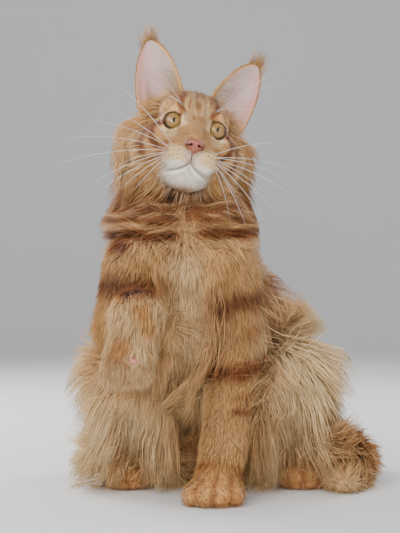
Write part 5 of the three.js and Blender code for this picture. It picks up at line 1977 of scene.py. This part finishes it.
def lynx_tuft(n=170):
    """The dark brush at the tip, whose hairs draw together to a point."""
    v = 0.84 + 0.15 * rng.random(n)
    u = rng.random(n) * 2 - 1
    _, across, back = ear_ways(u, v)
    start = ear_point(u, v) + back
    to_tip = unit(EAR_TUFT - start)
    axis = unit(np.array([EAR_TIP]) - (np.array(EAR_INNER) + np.array(EAR_OUTER)) / 2)
    way = unit(0.3 * to_tip + 0.8 * axis + 0.12 * u[:, None] * across + rng.normal(0, 0.11, (n, 3)))
    far = np.linalg.norm(EAR_TUFT - start, axis=1) * (0.3 + 0.75 * rng.random(n))
    end = start + way * far[:, None]
    bend = start + way * far[:, None] * 0.5 + across * rng.normal(0, 0.8, (n, 1))
    tone = DEEP + (TAN * 1.05 - DEEP) * (rng.random((n, 1)) ** 0.7)
    return start, bend, end, back, 0.5 + 0.15 * rng.random(n), tone


def fringe():
    """All the hairs of one ear, as for ear_hairs."""
    return [np.concatenate(column) for column in zip(edge_hairs(), back_hairs(), wisps(), lynx_tuft())]


# %% Grow the ear fur
for name, side in (("left", 1), ("right", -1)):
    start, bend, end, back, width, tone = fringe()
    line = arcs(to_world(start, side), to_world(bend, side), to_world(end, side), 2)
    facing = (back * np.array((side, 1, 1))) @ HEAD_TURN.T
    colours = np.repeat(tone[:, None, :], 3, axis=1)
    spikes("coat_ear_" + name, line, facing, width * mm, patch_of(line[:, 0]), colours, "ear", coat_fur,
           root_shade=0.85, keep_low=False)

# %% [markdown]
# Whiskers spring from the whisker pads and a few from over each eye. Each is set by how far it rises from
# the level of the head, in degrees, and by its length.

# %% The fans of whiskers
WHISKERS = {
    1: ((24, 72), (5, 99), (-3, 88), (-10, 113), (-18, 70),
        (-25, 94), (-34, 85), (-48, 76), (-42, 52), (-58, 58)),
    -1: ((36, 101), (22, 84), (8, 92), (-3, 108), (-19, 126),
         (-26, 58), (-34, 84), (-48, 62), (-40, 74), (-58, 50)),
}
BROW_WHISKERS = {1: ((44, 104), (36, 88), (12, 56)), -1: ((40, 46), (22, 52), (8, 34))}
WHISKER_WHITE = (0.86, 0.84, 0.80)
WHISKER_STEPS = 9

whisker_finish = bpy.data.materials.new("whisker")
whisker_finish.use_nodes = True
shader = whisker_finish.node_tree.nodes["Principled BSDF"]
shader.inputs["Base Color"].default_value = (*WHISKER_WHITE, 1)
shader.inputs["Roughness"].default_value = 0.35

print("whiskers:", sum(len(fan) for fan in [*WHISKERS.values(), *BROW_WHISKERS.values()]))

# %% Set the whiskers
starts, bends, ends, widths = [], [], [], []


def set_whisker(side, root, way, length, middle, droop, width):
    """Notes one whisker: its root laid on the skin, its bend, its end and its width in millimetres."""
    way = way / np.linalg.norm(way)
    start = lay_on(body, to_world([root], side))[0]
    begin = head_place(start[None])[0] * (side, 1, 1)
    starts.append(start)
    bends.append(to_world([begin + middle * length * way + np.array(droop) * length], side)[0])
    ends.append(to_world([begin + way * length], side)[0])
    widths.append(width)


for side, fan in WHISKERS.items():
    for i, (degrees, length) in enumerate(fan):
        row, place = i / (len(fan) - 1), (i * 0.618) % 1
        rise = math.radians(degrees)
        facing = np.array((0.35 + 0.4 * place, -0.75 + 0.35 * place, 0.45 - 0.85 * row))
        facing /= np.linalg.norm(facing)
        root = np.array((14, -22, -35.5)) + facing * (15.5, 16.2, 12.2)
        way = np.array((math.cos(rise), 0.22 + 0.25 * place, math.sin(rise)))
        set_whisker(side, root, way, length, 0.55, (0, -0.05, 0.11), 0.56 if length > 65 else 0.46)
    for i, (degrees, length) in enumerate(BROW_WHISKERS[side]):
        rise = math.radians(degrees)
        root = (15 + 2.2 * (i % 2), -8, 15 + 1.8 * i)
        way = np.array((math.cos(rise), -0.12 + 0.1 * i, math.sin(rise)))
        set_whisker(side, root, way, length, 0.5, (0, -0.1, 0.08), 0.36)
starts, bends, ends = np.array(starts), np.array(bends), np.array(ends)
line = arcs(starts, bends, ends, WHISKER_STEPS)
white = np.tile(WHISKER_WHITE, (len(line), WHISKER_STEPS + 1, 1))
spikes("whiskers", line, slope(body, starts), np.array(widths) * mm, patch_of(starts), white, "face_coat",
       whisker_finish, root_shade=1, tip_shade=1, keep_low=False)
